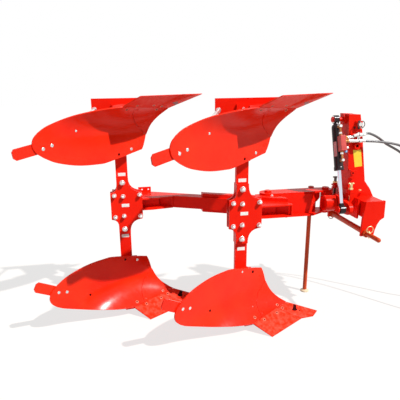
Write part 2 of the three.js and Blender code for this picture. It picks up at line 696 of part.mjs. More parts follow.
// Beam head: the solid front end of the beam, with the pivot's bore and doublers along the tube
const headHalf = swingInner - clearance;
const headEye = 46;
const headNose = 318;
const headNoseDepth = 26;
const doublerStart = -180;
const doublerInset = 18;
function beamHead() {
  const half = beamSize / 2;
  const { x, y } = swingPivot;
  const shape = new THREE.Shape();
  shape.moveTo(beamHeadStart, beamNear(beamHeadStart));
  shape.lineTo(headNose, beamNear(headNose));
  shape.lineTo(headNose, beamNear(headNose) + headNoseDepth);
  shape.absarc(x, y, headEye, -Math.PI / 9, Math.PI * 0.94, false);
  shape.lineTo(beamHeadStart, beamNear(beamHeadStart) + beamAcross);
  const head = plateZ(shape, -headHalf, headHalf * 2);
  const doublerThickness = headHalf - half - clearance;
  const strip = beamOutline(doublerStart, beamHeadStart + cutOverrun, doublerInset);
  const doublers = [half + clearance, -headHalf].map((z) => plateZ(strip, z, doublerThickness));
  const flats = [half, -headHalf - cutOverrun].map((z) => plateZ(outline([[beamHeadStart - cutOverrun, 0],
    [headNose + cutOverrun, 0], [headNose + cutOverrun, beamNear(headNose) + doublerInset],
    [beamHeadStart - cutOverrun, beamNear(beamHeadStart) + doublerInset]]), z, headHalf - half + cutOverrun));
  const bore = bar([x, y, -headHalf - cutOverrun], [x, y, headHalf + cutOverrun], pinRadius + clearance, roundSides);
  return cut(join(head, ...doublers), bore, ...flats);
}
add('beam_head', beamHead(), redPaint(), beamGroup);

function swingOutline(nearY, startX) {
  const shape = new THREE.Shape();
  shape.moveTo(startX, nearY);
  shape.lineTo(swingWeb.bend, nearY);
  shape.absarc(frontPin.x, frontPin.y, frontPin.radius, -Math.PI * 0.62, Math.PI / 2, false);
  shape.lineTo(swingWeb.end, swingFar);
  shape.absarc(swingPivot.x, swingPivot.y, swingPivot.radius, Math.PI / 2, Math.PI, false);
  shape.lineTo(swingPivot.x - swingPivot.radius, Math.min(nearY + cutOverrun, swingPivot.y));
  return shape;
}

function swingFrame() {
  const topPlate = new THREE.Shape();
  topPlate.moveTo(swingPivot.x, swingPivot.y - swingPivot.radius);
  topPlate.lineTo(swingWeb.bend, swingNearTop);
  topPlate.absarc(frontPin.x, frontPin.y, frontPin.radius, -Math.PI * 0.62, Math.PI / 2, false);
  topPlate.lineTo(swingWeb.end, swingFar);
  topPlate.absarc(swingPivot.x, swingPivot.y, swingPivot.radius, Math.PI / 2, Math.PI * 1.5, false);
  const top = plateZ(topPlate, swingInner, swingPlate);
  const bottom = plateZ(swingOutline(swingNearBottom, swingPivot.x - swingPivot.radius), -swingHalf, swingPlate);
  const { start, bend, end, thickness } = swingWeb;
  const nearWeb = swingNearTop - thickness;
  const turn = frontPin.y;
  const web = outline([[start, nearWeb], [bend, nearWeb], [end, turn], [end, swingFar - thickness / 2],
    [start, swingFar - thickness / 2], [start, swingFar - thickness * 3 / 2],
    [end - thickness, swingFar - thickness * 3 / 2], [end - thickness, turn + thickness / 2],
    [bend - thickness / 2, nearWeb + thickness], [start, nearWeb + thickness]]);
  const webs = plateZ(web, -swingInner - clearance, swingInner * 2 + clearance * 2);
  const bores = [swingPivot, frontPin].map(({ x, y }) => bar([x, y, -swingHalf - cutOverrun],
    [x, y, swingHalf + cutOverrun], pinRadius + clearance, roundSides));
  return cut(join(top, bottom, webs), ...bores);
}
add('swing_frame', swingFrame(), redPaint());

function kingPin({ x, y }) {
  const end = swingHalf + clearance;
  return turnedAlongZ([[-end - pinHeadHeight, 0], [-end - pinHeadHeight, pinHeadRadius], [-end, pinHeadRadius],
    [-end, pinRadius], [end, pinRadius], [end, pinHeadRadius], [end + pinHeadHeight, pinHeadRadius * 0.9],
    [end + pinHeadHeight, 0]]).translate(x, y, 0);
}
add('rear_pivot_pin', kingPin(swingPivot), darkPaint());
add('front_pivot_pin', kingPin(frontPin), darkPaint());

// Turnover shaft with its hub, whose lug is held by the front pin
const hub = { start: 586, end: 661, radius: 52 };
const shaftRadius = 27;
const shaftEnd = 934;
const hubBore = 34;
const hubBoreDepth = 20;
const lugRadius = 26;
const shaftNut = { start: 896, thickness: 24, radius: 42 };
const axisY = axisOffset;
function turnoverShaft() {
  const body = turnedAlongX([[hub.start, 0], [hub.start, hub.radius - cutOverrun], [hub.start + cutOverrun, hub.radius],
    [hub.end, hub.radius], [hub.end, shaftRadius], [shaftEnd, shaftRadius], [shaftEnd, 0]]).translate(0, axisY, 0);
  const nut = bar([shaftNut.start, axisY, 0], [shaftNut.start + shaftNut.thickness, axisY, 0], shaftNut.radius, 6);
  const ear = new THREE.Shape();
  ear.moveTo(hub.end - lugRadius * 2, axisY + hub.radius / 2);
  ear.lineTo(hub.end - clearance, axisY + hub.radius / 2);
  ear.lineTo(hub.end - clearance, frontPin.y);
  ear.absarc(hub.end - lugRadius, frontPin.y, lugRadius, 0, Math.PI, false);
  const lugPlate = plateZ(ear, -swingInner + clearance, (swingInner - clearance) * 2);
  const recess = bar([hub.start - cutOverrun, axisY, 0], [hub.start + hubBoreDepth, axisY, 0], hubBore, roundSides);
  const bore = bar([frontPin.x, frontPin.y, -swingHalf], [frontPin.x, frontPin.y, swingHalf],
    pinRadius + clearance, roundSides);
  return cut(join(body, lugPlate, nut), bore, recess);
}
add('turnover_shaft', turnoverShaft(), darkPaint());

// Crank: arm to the rod pin on one side, stop arm on the other
const crankPlate = { start: 666, thickness: 24, eye: 36, hubEye: 58 };
const stopRadius = 107;
const stopEye = 24;
const stopLug = { length: 30, radius: 13 };
const rodPinRadius = 13;
const rodPinEnd = 602;
const rodWasher = { radius: 22, thickness: 7 };
function crank() {
  const { start, thickness, eye, hubEye } = crankPlate;
  const pinY = axisY - crankRadius;
  const shape = new THREE.Shape();
  shape.absarc(axisY, 0, hubEye, Math.PI * 0.6, Math.PI * 0.4, true);
  const arm = outline([[pinY, -eye], [axisY, -hubEye], [axisY + stopRadius, -stopEye],
    [axisY + stopRadius, stopEye], [axisY, hubEye], [pinY, eye]]);
  const disc = (y, radius) => bar([start, y, 0], [start + thickness, y, 0], radius, roundSides);
  const plate = join(plateX(arm, start, thickness), disc(axisY, hubEye), disc(pinY, eye),
    disc(axisY + stopRadius, stopEye));
  const pin = bar([rodPinEnd, pinY, 0], [start + cutOverrun, pinY, 0], rodPinRadius);
  const washer = bar([rodPinEnd, pinY, 0], [rodPinEnd + rodWasher.thickness, pinY, 0], rodWasher.radius);
  const lugEnd = start + thickness + stopLug.length;
  const stop = bar([start, axisY + stopRadius, 0], [lugEnd, axisY + stopRadius, 0], stopLug.radius);
  const bore = bar([start - cutOverrun, axisY, 0], [start + thickness + cutOverrun, axisY, 0],
    shaftRadius + clearance, roundSides);
  return cut(join(plate, pin, washer, stop), bore);
}
add('crank', crank(), redPaint());

// Turnover cylinder, built hanging from its upper pin and then leant to reach the rod pin
const cylinder = { length: Math.hypot(crankRadius, mastPinHeight), lean: Math.atan2(crankRadius, mastPinHeight) };
const barrelRadius = 30;
const barrelTop = 32; // below the upper pin
const barrelLength = 286;
const glandLength = 22;
const rodRadius = 13.5;
const rodEye = { radius: 27, width: 36 };
const upperEye = { radius: 26, width: 34 };
const upperPinRadius = 13;
const upperPin = { start: 606, end: 676, head: 17, headHeight: 6 };
const boreDepth = 270;
const neckShare = 0.6;
const glandRadius = 34;
const rodInside = 58;
const cylinderGroup = new THREE.Group();
cylinderGroup.position.set(cylinderForward, axisY, mastPinHeight);
cylinderGroup.rotation.x = -cylinder.lean;
plough.add(cylinderGroup);

// A bore's flats, not its corners, keep the clearance
const boreRadius = (pin, sides = smallSides) => (pin + clearance) / Math.cos(Math.PI / sides);
function eyeRing(radius, width, bore, z) {
  const ring = bar([-width / 2, 0, z], [width / 2, 0, z], radius, roundSides);
  return cut(ring, bar([-width, 0, z], [width, 0, z], boreRadius(bore), smallSides));
}

function rod() {
  const foot = -cylinder.length;
  const top = -barrelTop - barrelLength + rodInside;
  const shaft = bar([0, 0, foot + rodPinRadius + cutOverrun], [0, 0, top], rodRadius, roundSides);
  const nut = bar([0, 0, foot + rodEye.radius - cutOverrun], [0, 0, foot + rodEye.radius + glandLength / 2],
    rodRadius + cutOverrun, 6);
  return join(eyeRing(rodEye.radius, rodEye.width, rodPinRadius, foot), shaft, nut);
}
add('cylinder_rod', rod(), chromePlate(), cylinderGroup);

function barrel() {
  const top = -barrelTop;
  const end = top - barrelLength;
  const body = turnedAlongZ([[end, 0], [end, glandRadius], [end + glandLength, glandRadius],
    [end + glandLength, barrelRadius], [top - glandLength, barrelRadius], [top, upperEye.radius], [top, 0]]);
  const neck = bar([0, 0, top - cutOverrun], [0, 0, -upperPinRadius - cutOverrun], upperEye.radius * neckShare, roundSides);
  const bore = bar([0, 0, end - cutOverrun], [0, 0, end + boreDepth], rodRadius + clearance, roundSides);
  return cut(join(body, neck, eyeRing(upperEye.radius, upperEye.width, upperPinRadius, 0)), bore);
}
add('cylinder_barrel', barrel(), blackPaint(), cylinderGroup);

// Upper pin, carried by the upper eye and ending just behind the mast's boss
function upperPinShape() {
  const { start, end, head, headHeight } = upperPin;
  return turnedAlongX([[start, 0], [start, head], [start + headHeight, head], [start + headHeight, upperPinRadius],
    [end, upperPinRadius], [end, 0]], smallSides).translate(0, axisY, mastPinHeight);
}
add('upper_pin', upperPinShape(), redPaint());

// Valve block on the near side of the barrel, with its pipes to the two ports
const valve = { rear: -20, front: 22, deep: 42, top: -110, bottom: -206 };
const pipeRadius = 6;
const portRise = 56;
const portRadius = 10;
const fitting = { radius: 10, length: 24 };
const hosePortHeights = [-122, -148];
function valveBlock() {
  const near = -barrelRadius - clearance;
  const { rear, front, deep, top, bottom } = valve;
  const body = block([rear, near - deep, bottom], [front, near, top]);
  const middle = (rear + front) / 2;
  const pipe = (from, to) => {
    const [x, y] = [middle, near - deep / 2];
    const curve = new THREE.CatmullRomCurve3([new THREE.Vector3(x, y, from), new THREE.Vector3(x, y, (from + to) / 2),
      new THREE.Vector3(x - pipeRadius, y + pipeRadius, to), new THREE.Vector3(0, near - portRadius, to)]);
    return tube(curve, pipeRadius, 6, 8);
  };
  const ports = [top + portRise, bottom - portRise].map((z) => bar([0, near, z], [0, near - portRadius * 2, z],
    portRadius, smallSides / 2));
  const pipes = [pipe(top - cutOverrun, top + portRise), pipe(bottom + cutOverrun, bottom - portRise)];
  const ends = hosePortHeights.map((z, i) => bar([front - cutOverrun, near - deep * hosePortShares[i], z],
    [front + fitting.length, near - deep * hosePortShares[i], z], fitting.radius, 6));
  return join(body, ...ports, ...pipes, ...ends);
}
const hosePortShares = [0.32, 0.68];
add('valve_block', valveBlock(), darkPaint(), cylinderGroup);

// Parking stand in its sleeve, on the far side of the swing frame
const stand = { x: 568, radius: 14, foot: 30, footHeight: 7 };
const sleeve = { radius: 19, half: swingHalf + cutOverrun };
const standY = swingFar + sleeve.radius + clearance;
const standTop = 82;
function standSleeve() {
  const { x } = stand;
  const pipe = bar([x, standY, -sleeve.half], [x, standY, sleeve.half], sleeve.radius, roundSides);
  const knob = bar([x, standY + sleeve.radius - cutOverrun, 0], [x, standY + sleeve.radius * 2, 0], pipeRadius);
  const bore = bar([x, standY, -sleeve.half - cutOverrun], [x, standY, sleeve.half + cutOverrun],
    stand.radius + clearance, roundSides);
  return cut(join(pipe, knob), bore);
}
add('stand_sleeve', standSleeve(), redPaint());
add('parking_stand', turnedAlongZ([[-axisHeight, 0], [-axisHeight, stand.foot], [-axisHeight + stand.footHeight, stand.foot],
  [-axisHeight + stand.footHeight * 2, stand.radius], [standTop, stand.radius], [standTop, 0]])
  .translate(stand.x, standY, 0), darkPaint());

// Mast: two side plates, a rear plate, the cross plate behind the crank and the screw brackets
const mastHalf = 57;
const mastWall = 10;
const mastAbovePin = 34;
const capSlope = 3; // the cap is lower at the front
const cheekDrop = 70; // from the upper cylinder pin down to the bend of the front edge
const mastTopRear = { x: 687, z: mastPinHeight + mastAbovePin };
const mastFootRear = { x: 736, z: -66 };
const mastTopFront = [764, mastTopRear.z - capSlope];
const mastCheek = [785, mastPinHeight - cheekDrop];
const mastFront = [mastTopFront, mastCheek, [816, 268], [835, 147], [876, 95], [905, 40], [905, -66]];
const crossPlate = { x: 736, thickness: 12, halfWidth: 170, top: 62 };
const screw = { x: 716, offset: 107, radius: 9, bossRadius: 15, flangeTop: 98, flangeBottom: 88, end: 20, top: 152 };
const flangeFront = 792;
const flangeHalf = 22;
const gussetHalf = 5;
const anchor = { start: 676.5, radius: 30 };
const spreader = { x: 756, z: mastPinHeight - 163, radius: 22, proud: 12 };
const linkPinDrop = 27; // below the upper cylinder pin
const linkPin = { x: 757, z: mastPinHeight - linkPinDrop, radius: 12.5, proud: 26, head: 18, headHeight: 6 };
const doublerBelow = 38;
const doublerAbove = 20;
const doubler = { rear: 734, front: 778, bottom: linkPin.z - doublerBelow, top: linkPin.z + doublerAbove, thickness: 8 };
const member = { rear: 758, front: 885, half: 50, wall: 8 };
const bearing = { radius: 40, flange: 46, flangeThickness: 10 };

function mastRearAt(z) {
  const t = (z - mastFootRear.z) / (mastTopRear.z - mastFootRear.z);
  return THREE.MathUtils.lerp(mastFootRear.x, mastTopRear.x, t);
}

function mast() {
  const near = axisY - mastHalf;
  const far = axisY + mastHalf;
  const sideShape = outline([[mastTopRear.x, mastTopRear.z], [mastFootRear.x, mastFootRear.z],
    ...mastFront.slice().reverse()]);
  const sides = [near, far - mastWall].map((y) => plateY(sideShape, y, mastWall));
  const wall = outline([[mastTopRear.x, mastTopRear.z], [mastFootRear.x, mastFootRear.z],
    [mastFootRear.x + mastWall, mastFootRear.z], [mastTopRear.x + mastWall, mastTopRear.z]]);
  const rear = plateY(wall, near + mastWall / 2, (mastHalf - mastWall / 2) * 2);
  const cap = block([mastTopRear.x, near + mastWall / 2, mastFront[0][1] - mastWall],
    [mastFront[0][0] - mastWall, far - mastWall / 2, mastFront[0][1]]);
  const cross = block([crossPlate.x, axisY - crossPlate.halfWidth, mastFootRear.z],
    [crossPlate.x + crossPlate.thickness, axisY + crossPlate.halfWidth, crossPlate.top]);
  const brackets = [-1, 1].flatMap((side) => {
    const y = axisY + side * screw.offset;
    const flange = block([screw.x - screw.bossRadius, y - flangeHalf, screw.flangeBottom],
      [flangeFront, y + flangeHalf, screw.flangeTop]);
    const gusset = plateY(outline([[crossPlate.x + clearance, screw.flangeBottom + clearance],
      [flangeFront, screw.flangeBottom + clearance], [crossPlate.x + crossPlate.thickness, mastFootRear.z / 2],
      [crossPlate.x + clearance, mastFootRear.z / 2]]), y - gussetHalf, gussetHalf * 2);
    const boss = bar([screw.x, y, screw.flangeBottom - screw.bossRadius], [screw.x, y, screw.flangeTop + mastWall],
      screw.bossRadius);
    return [flange, gusset, boss];
  });
  const boss = bar([anchor.start, axisY, mastPinHeight], [mastTopRear.x + mastWall, axisY, mastPinHeight],
    anchor.radius, roundSides);
  const tie = bar([spreader.x, near - spreader.proud, spreader.z], [spreader.x, far + spreader.proud, spreader.z],
    spreader.radius, roundSides);
  const patch = block([doubler.rear, near - doubler.thickness, doubler.bottom],
    [doubler.front, near + mastWall / 2, doubler.top]);
  const screwHoles = [-1, 1].map((side) => bar([screw.x, axisY + side * screw.offset, 0],
    [screw.x, axisY + side * screw.offset, screw.top * 2], boreRadius(screw.radius)));
  const linkHole = bar([linkPin.x, near - linkPin.proud * 2, linkPin.z], [linkPin.x, far + linkPin.proud * 2, linkPin.z],
    linkPin.radius + clearance);
  const memberSpace = block([member.rear - clearance, near - crossPlate.halfWidth * 2, -member.half - clearance],
    [member.front + clearance, far + crossPlate.halfWidth * 2, member.half + clearance]);
  const shaftHole = bar([crossPlate.x - cutOverrun * 3, axisY, 0], [crossPlate.x + crossPlate.thickness + cutOverrun, axisY, 0],
    bearing.radius + clearance, roundSides);
  return cut(join(...sides, rear, cap, cross, ...brackets, boss, tie, patch), ...screwHoles, linkHole,
    memberSpace, shaftHole);
}
add('mast', mast(), redPaint());

// Cross member: a box beam with the two lower link brackets
const bracketPlate = 16;
const bracketHalf = 232;
const bracketShape = [[757, 56], [885, 56], [887, -51], [862, -66], [845, -92], [832, -128], [826, -164], [740, -164],
  [744, -50]];
function crossMember() {
  const y0 = axisY - bracketHalf;
  const y1 = axisY + bracketHalf;
  const box = block([member.rear, y0 + bracketPlate / 2, -member.half], [member.front, y1 - bracketPlate / 2, member.half]);
  const inside = block([member.rear + member.wall, y0 + bracketPlate * 2, member.wall - member.half],
    [member.front - member.wall, y1 - bracketPlate * 2, member.half - member.wall]);
  const plates = [y0, y1 - bracketPlate].map((y) => plateY(outline(bracketShape), y, bracketPlate));
  const bore = bar([member.rear - cutOverrun, axisY, 0], [member.front + cutOverrun, axisY, 0],
    bearing.radius + clearance, roundSides);
  const pinBore = bar([hitchForward, y0 - cutOverrun, -hitchDrop], [hitchForward, y1 + cutOverrun, -hitchDrop],
    hitchRadius + clearance);
  return cut(join(cut(box, inside), ...plates), bore, pinBore);
}
const hitchRadius = 14;
add('cross_member', crossMember(), redPaint());

// Hitch cross shaft: its ends are the lower link pins
const hitchCollar = { radius: 25, thickness: 12 };
const hitchMiddle = 18; // radius between the brackets
const hitchTipLength = 10;
function hitchShaft() {
  const inner = bracketHalf - bracketPlate - clearance;
  const outer = bracketHalf + clearance;
  const end = hitchHalfWidth;
  const half = [[inner, hitchRadius], [outer, hitchRadius], [outer, hitchCollar.radius],
    [outer + hitchCollar.thickness, hitchCollar.radius], [outer + hitchCollar.thickness, hitchRadius],
    [end - hitchTipLength, hitchRadius], [end, hitchRadius / 2]];
  const collar = [[inner - hitchCollar.thickness, hitchMiddle], [inner - hitchCollar.thickness, hitchCollar.radius],
    [inner, hitchCollar.radius]];
  const side = [...collar, ...half];
  const other = side.map(([along, radius]) => [-along, radius]).reverse();
  return turned([[-end, 0], ...other, ...side, [end, 0]], smallSides).translate(hitchForward, axisY, -hitchDrop);
}
add('hitch_shaft', hitchShaft(), darkPaint());

// Top link pin with its head on the far side
function topLinkPin() {
  const reach = mastHalf + linkPin.proud;
  const { radius, head, headHeight } = linkPin;
  return turned([[-reach, 0], [-reach, radius], [mastHalf + clearance, radius], [mastHalf + clearance, head],
    [mastHalf + headHeight, head], [mastHalf + headHeight, 0]], smallSides).translate(linkPin.x, axisY, linkPin.z);
}
add('top_link_pin', topLinkPin(), zincPlate());

// Bearing housing in the cross member, with its flange and the retaining nut of the shaft in front
function bearingHousing() {
  const bore = boreRadius(shaftRadius, roundSides);
  const body = turnedAlongX([[crossPlate.x, bore], [crossPlate.x, bearing.radius],
    [member.front + clearance, bearing.radius], [member.front + clearance, bearing.flange],
    [member.front + clearance + bearing.flangeThickness, bearing.flange],
    [member.front + clearance + bearing.flangeThickness, bore], [crossPlate.x, bore]]);
  return body.translate(0, axisY, 0);
}
add('bearing_housing', bearingHousing(), darkPaint());
// Stop screws with T handles
const handle = { length: 36, radius: 5 };
function stopScrew(side) {
  const y = axisY + side * screw.offset;
  const shank = bar([screw.x, y, screw.end], [screw.x, y, screw.top], screw.radius);
  const grip = bar([screw.x - handle.length / 2, y, screw.top - handle.radius],
    [screw.x + handle.length / 2, y, screw.top - handle.radius], handle.radius, smallSides / 2);
  return join(shank, grip);
}
add('near_stop_screw', stopScrew(-1), zincPlate());
add('far_stop_screw', stopScrew(1), zincPlate());

// The middle of the footprint becomes the origin, measured before the hoses are hung on
plough.updateMatrixWorld(true);
const bounds = new THREE.Box3().setFromObject(plough, true);

// Clip that holds the two hoses on the near side of the mast
const hoseRadius = 7.5;
const clipHeights = [mastPinHeight - 89, mastPinHeight - 126];
const clip = { x: 761, halfLength: 9, y: 62, heights: clipHeights, ring: 12, plateEdge: 12, plate: 6 };
function hoseClip() {
  const { x, halfLength, y, heights, ring, plateEdge, plate } = clip;
  const face = axisY - mastHalf - clearance;
  const back = block([x - halfLength, face - plate, heights[1] - plateEdge], [x + halfLength, face, heights[0] + plateEdge]);
  const rings = heights.map((z) => bar([x - halfLength, y, z], [x + halfLength, y, z], ring));
  const arms = heights.map((z) => block([x - halfLength, y, z - plate], [x + halfLength, face - plate / 2, z + plate]));
  const bores = heights.map((z) => bar([x - halfLength - cutOverrun, y, z], [x + halfLength + cutOverrun, y, z],
    boreRadius(hoseRadius + clearance)));
  return cut(join(back, ...rings, ...arms), ...bores);
}
add('hose_clip', hoseClip(), zincPlate());

// Hoses. Each leaves its fitting, passes the clip, hangs down in front of the headstock and ends
// in a coil on the ground, with a coupler on top of the coil's turns.
const hoseSides = 8;
const runSteps = 48;
const coilSides = 6;
const loopSteps = 24;
const coilTurns = 2.5;
const coilPitch = 16; // from turn to turn
const coilOuter = 106; // radius at which the coil begins
const climbTurns = 0.5; // the last part of the coil rises to lie on the turns
const coupler = { radius: 13, length: 58, nose: 9, collar: 10 };
const clipPoints = (i) => [-2, 0, 2].map((step) => [clip.x + step * clip.halfLength, clip.y, clip.heights[i]]);
const hoseAloft = { // the last of the three is the depth below the upper cylinder pin
  upper: [[808, 66, 82], [848, 70, 93], [895, 72, 117], [943, 72, 151], [1040, 68, 204], [1110, 64, 260],
    [1165, 62, 355]],
  lower: [[806, 58, 129], [867, 53, 133], [919, 52, 140], [980, 50, 150], [1035, 46, 167], [1095, 38, 210],
    [1145, 20, 290]],
};
const hoseDown = {
  upper: [[1195, 60, 50], [1207, 60, -120], [1212, 60, -320], [1215, 60, -500], [1221, 60, -590],
    [1240, 60, -656], [1276, 60, -690]],
  lower: [[1175, -8, 110], [1183, -45, -80], [1180, -90, -280], [1172, -130, -460],
    [1168, -152, -575], [1176, -164, -648], [1204, -170, -689]],
};
const coilStarts = { upper: [1300, 60], lower: [1228, -171] };

// A coil on the ground: straight at both ends, winding inwards, the last half turn climbing
function coilCurve([x, y]) {
  const low = hoseRadius - axisHeight;
  const high = 2 * hoseRadius + coupler.radius + clearance - axisHeight;
  const points = [new THREE.Vector3(x, y, low), new THREE.Vector3(x + hoseRadius * 2, y, low)];
  const centreX = x + hoseRadius * 2;
  const centreY = y - coilOuter;
  const count = Math.round(coilTurns * loopSteps);
  for (let i = 1; i <= count; i += 1) {
    const turn = i / loopSteps;
    const angle = Math.PI / 2 - turn * 2 * Math.PI;
    const radius = coilOuter - turn * coilPitch;
    const climb = Math.max(turn - (coilTurns - climbTurns), 0) / climbTurns;
    const z = THREE.MathUtils.lerp(low, high, climb * climb * (3 - 2 * climb));
    points.push(new THREE.Vector3(centreX + radius * Math.cos(angle), centreY + radius * Math.sin(angle), z));
  }
  const last = points.at(-1);
  const before = points.at(-2);
  const along = last.clone().sub(before).setZ(0).normalize();
  points.push(last.clone().addScaledVector(along, hoseRadius), last.clone().addScaledVector(along, hoseRadius * 2));
  return new THREE.CatmullRomCurve3(points);
}

// The least gap between the turns of a coil, measured on points more than half a turn apart
function leastGap(curve, radius) {
  const points = curve.getSpacedPoints(loopSteps * loopSteps);
  const step = curve.getLength() / (points.length - 1);
  const apart = Math.ceil((Math.PI * (coilOuter - coilTurns * coilPitch)) / step);
  let least = Infinity;
  for (let i = 0; i < points.length; i += 1) {
    for (let j = i + apart; j < points.length; j += 1) least = Math.min(least, points[i].distanceTo(points[j]));
  }
  return least - 2 * radius;
}

for (const [i, side] of ['upper', 'lower'].entries()) {
  const middleX = (valve.rear + valve.front) / 2;
  const port = new THREE.Vector3(valve.front + fitting.length + clearance,
    -barrelRadius - clearance - valve.deep * hosePortShares[i], hosePortHeights[i]);
  const start = cylinderGroup.localToWorld(port);
  const straight = start.clone().addScaledVector(axes.x, hoseRadius * 2);
  const coil = coilCurve(coilStarts[side]);
  const landing = coil.getPoint(0).addScaledVector(axes.x, -clearance);
  const approach = landing.clone().addScaledVector(axes.x, -hoseRadius);
  const aloft = hoseAloft[side].map(([x, y, depth]) => [x, y, mastPinHeight - depth]);
  const between = [...clipPoints(i), ...aloft, ...hoseDown[side]].map((point) => new THREE.Vector3(...point));
  const route = [start, straight, ...between, approach, landing];
  const run = new THREE.CatmullRomCurve3(route, false, 'centripetal');
  const end = coil.getPoint(1);
  const direction = end.clone().sub(coil.points.at(-2)).normalize();
  const turn = Math.atan2(direction.y, direction.x);
  const plug = turnedAlongX([[0, 0], [0, coupler.nose], [coupler.collar, coupler.nose], [coupler.collar, coupler.radius],
    [coupler.length - coupler.collar, coupler.radius], [coupler.length, coupler.nose], [coupler.length, 0]], smallSides)
    .rotateZ(turn).translate(...end.clone().addScaledVector(direction, clearance).toArray());
  add(`${side}_hose`, tube(run, hoseRadius, runSteps, hoseSides), blackRubber());
  add(`${side}_hose_coil`, tube(coil, hoseRadius, Math.round((coilTurns + climbTurns / 2) * loopSteps), coilSides), blackRubber());
  add(`${side}_hose_coupler`, plug, zincPlate());
  const length = (run.getLength() + coil.getLength() + coupler.length) / 1000;
  console.log(`${side} hose ${length.toFixed(2)} m, least gap of its coil ${leastGap(coil, hoseRadius).toFixed(2)} mm`);
}
const middle = bounds.getCenter(new THREE.Vector3());
plough.position.set(-middle.x, -middle.y, -bounds.min.z);

export default plough;
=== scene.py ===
import json
import math

import bmesh
import bpy
import numpy as np
from mathutils import Matrix, Vector
from mathutils.bvhtree import BVHTree

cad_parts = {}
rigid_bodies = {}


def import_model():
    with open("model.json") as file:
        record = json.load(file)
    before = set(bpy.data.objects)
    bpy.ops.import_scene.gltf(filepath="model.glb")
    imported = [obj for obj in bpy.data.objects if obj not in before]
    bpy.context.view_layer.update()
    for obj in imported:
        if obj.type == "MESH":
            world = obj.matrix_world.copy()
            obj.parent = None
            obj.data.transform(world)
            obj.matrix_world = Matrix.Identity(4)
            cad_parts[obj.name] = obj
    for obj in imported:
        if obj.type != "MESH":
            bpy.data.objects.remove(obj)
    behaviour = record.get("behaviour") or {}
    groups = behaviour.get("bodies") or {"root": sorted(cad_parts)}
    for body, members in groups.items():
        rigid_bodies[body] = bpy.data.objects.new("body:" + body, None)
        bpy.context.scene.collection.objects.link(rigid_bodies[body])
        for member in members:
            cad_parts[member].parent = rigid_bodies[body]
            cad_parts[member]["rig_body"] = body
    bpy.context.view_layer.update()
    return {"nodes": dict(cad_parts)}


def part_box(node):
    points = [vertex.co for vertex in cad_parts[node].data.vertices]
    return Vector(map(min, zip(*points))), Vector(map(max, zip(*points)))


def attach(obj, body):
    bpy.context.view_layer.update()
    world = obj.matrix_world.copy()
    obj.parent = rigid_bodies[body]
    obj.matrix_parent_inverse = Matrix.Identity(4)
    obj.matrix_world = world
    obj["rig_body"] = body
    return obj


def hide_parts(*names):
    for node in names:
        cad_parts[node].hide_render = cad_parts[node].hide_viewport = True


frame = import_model()

# Camera, where the photograph was taken from: 2.6 m to the plough's side, looking down a little.
# Places are on the plough's own drawing, in millimetres: back to front, near to far, and up from
# the turnover axis. The foot of the parking stand ties that drawing to the frame.
ground = -700
stand_x, stand_y = 568, 302.3
stand_low, stand_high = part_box("parking_stand")
drawing = Vector(((stand_low.x + stand_high.x) / 2 - stand_x / 1000,
                  (stand_low.y + stand_high.y) / 2 - stand_y / 1000,
                  stand_low.z - ground / 1000))


def at(x, y, z):
    return Vector((x, y, z)) / 1000 + drawing


azimuth, elevation, roll = (math.radians(a) for a in (9.72, 17.26, -0.79))
ahead = Vector((math.sin(azimuth) * math.cos(elevation), math.cos(azimuth) * math.cos(elevation),
                -math.sin(elevation)))
level = Vector((math.cos(azimuth), -math.sin(azimuth), 0))
picture_right = level * math.cos(roll) + level.cross(ahead) * math.sin(roll)
picture_up = level.cross(ahead) * math.cos(roll) - level * math.sin(roll)
eye = at(-745, -2573, 773)

lens = bpy.data.cameras.new("camera")
lens.lens = 41.27
lens.sensor_width = 36
lens.shift_x = 0.01775
lens.shift_y = 0.0595
lens.clip_end = 100
camera = bpy.data.objects.new("camera", lens)
camera.matrix_world = (Matrix.Translation(eye)
                       @ Matrix((picture_right, picture_up, -ahead)).transposed().to_4x4())
bpy.context.scene.collection.objects.link(camera)
bpy.context.scene.camera = camera


# Hoses. Two rubber hoses with a braid of steel wire inside, cut to length. Each runs from its nut
# at the valve block, through the clip on the mast and down in front of the headstock, to a coil on
# the ground.
def seen(r, g, b):
    """A colour given as it is seen on a screen."""
    parts = (c / 255 for c in (r, g, b))
    return tuple(((c + 0.055) / 1.055) ** 2.4 if c > 0.04 else c / 12.92 for c in parts) + (1.0,)


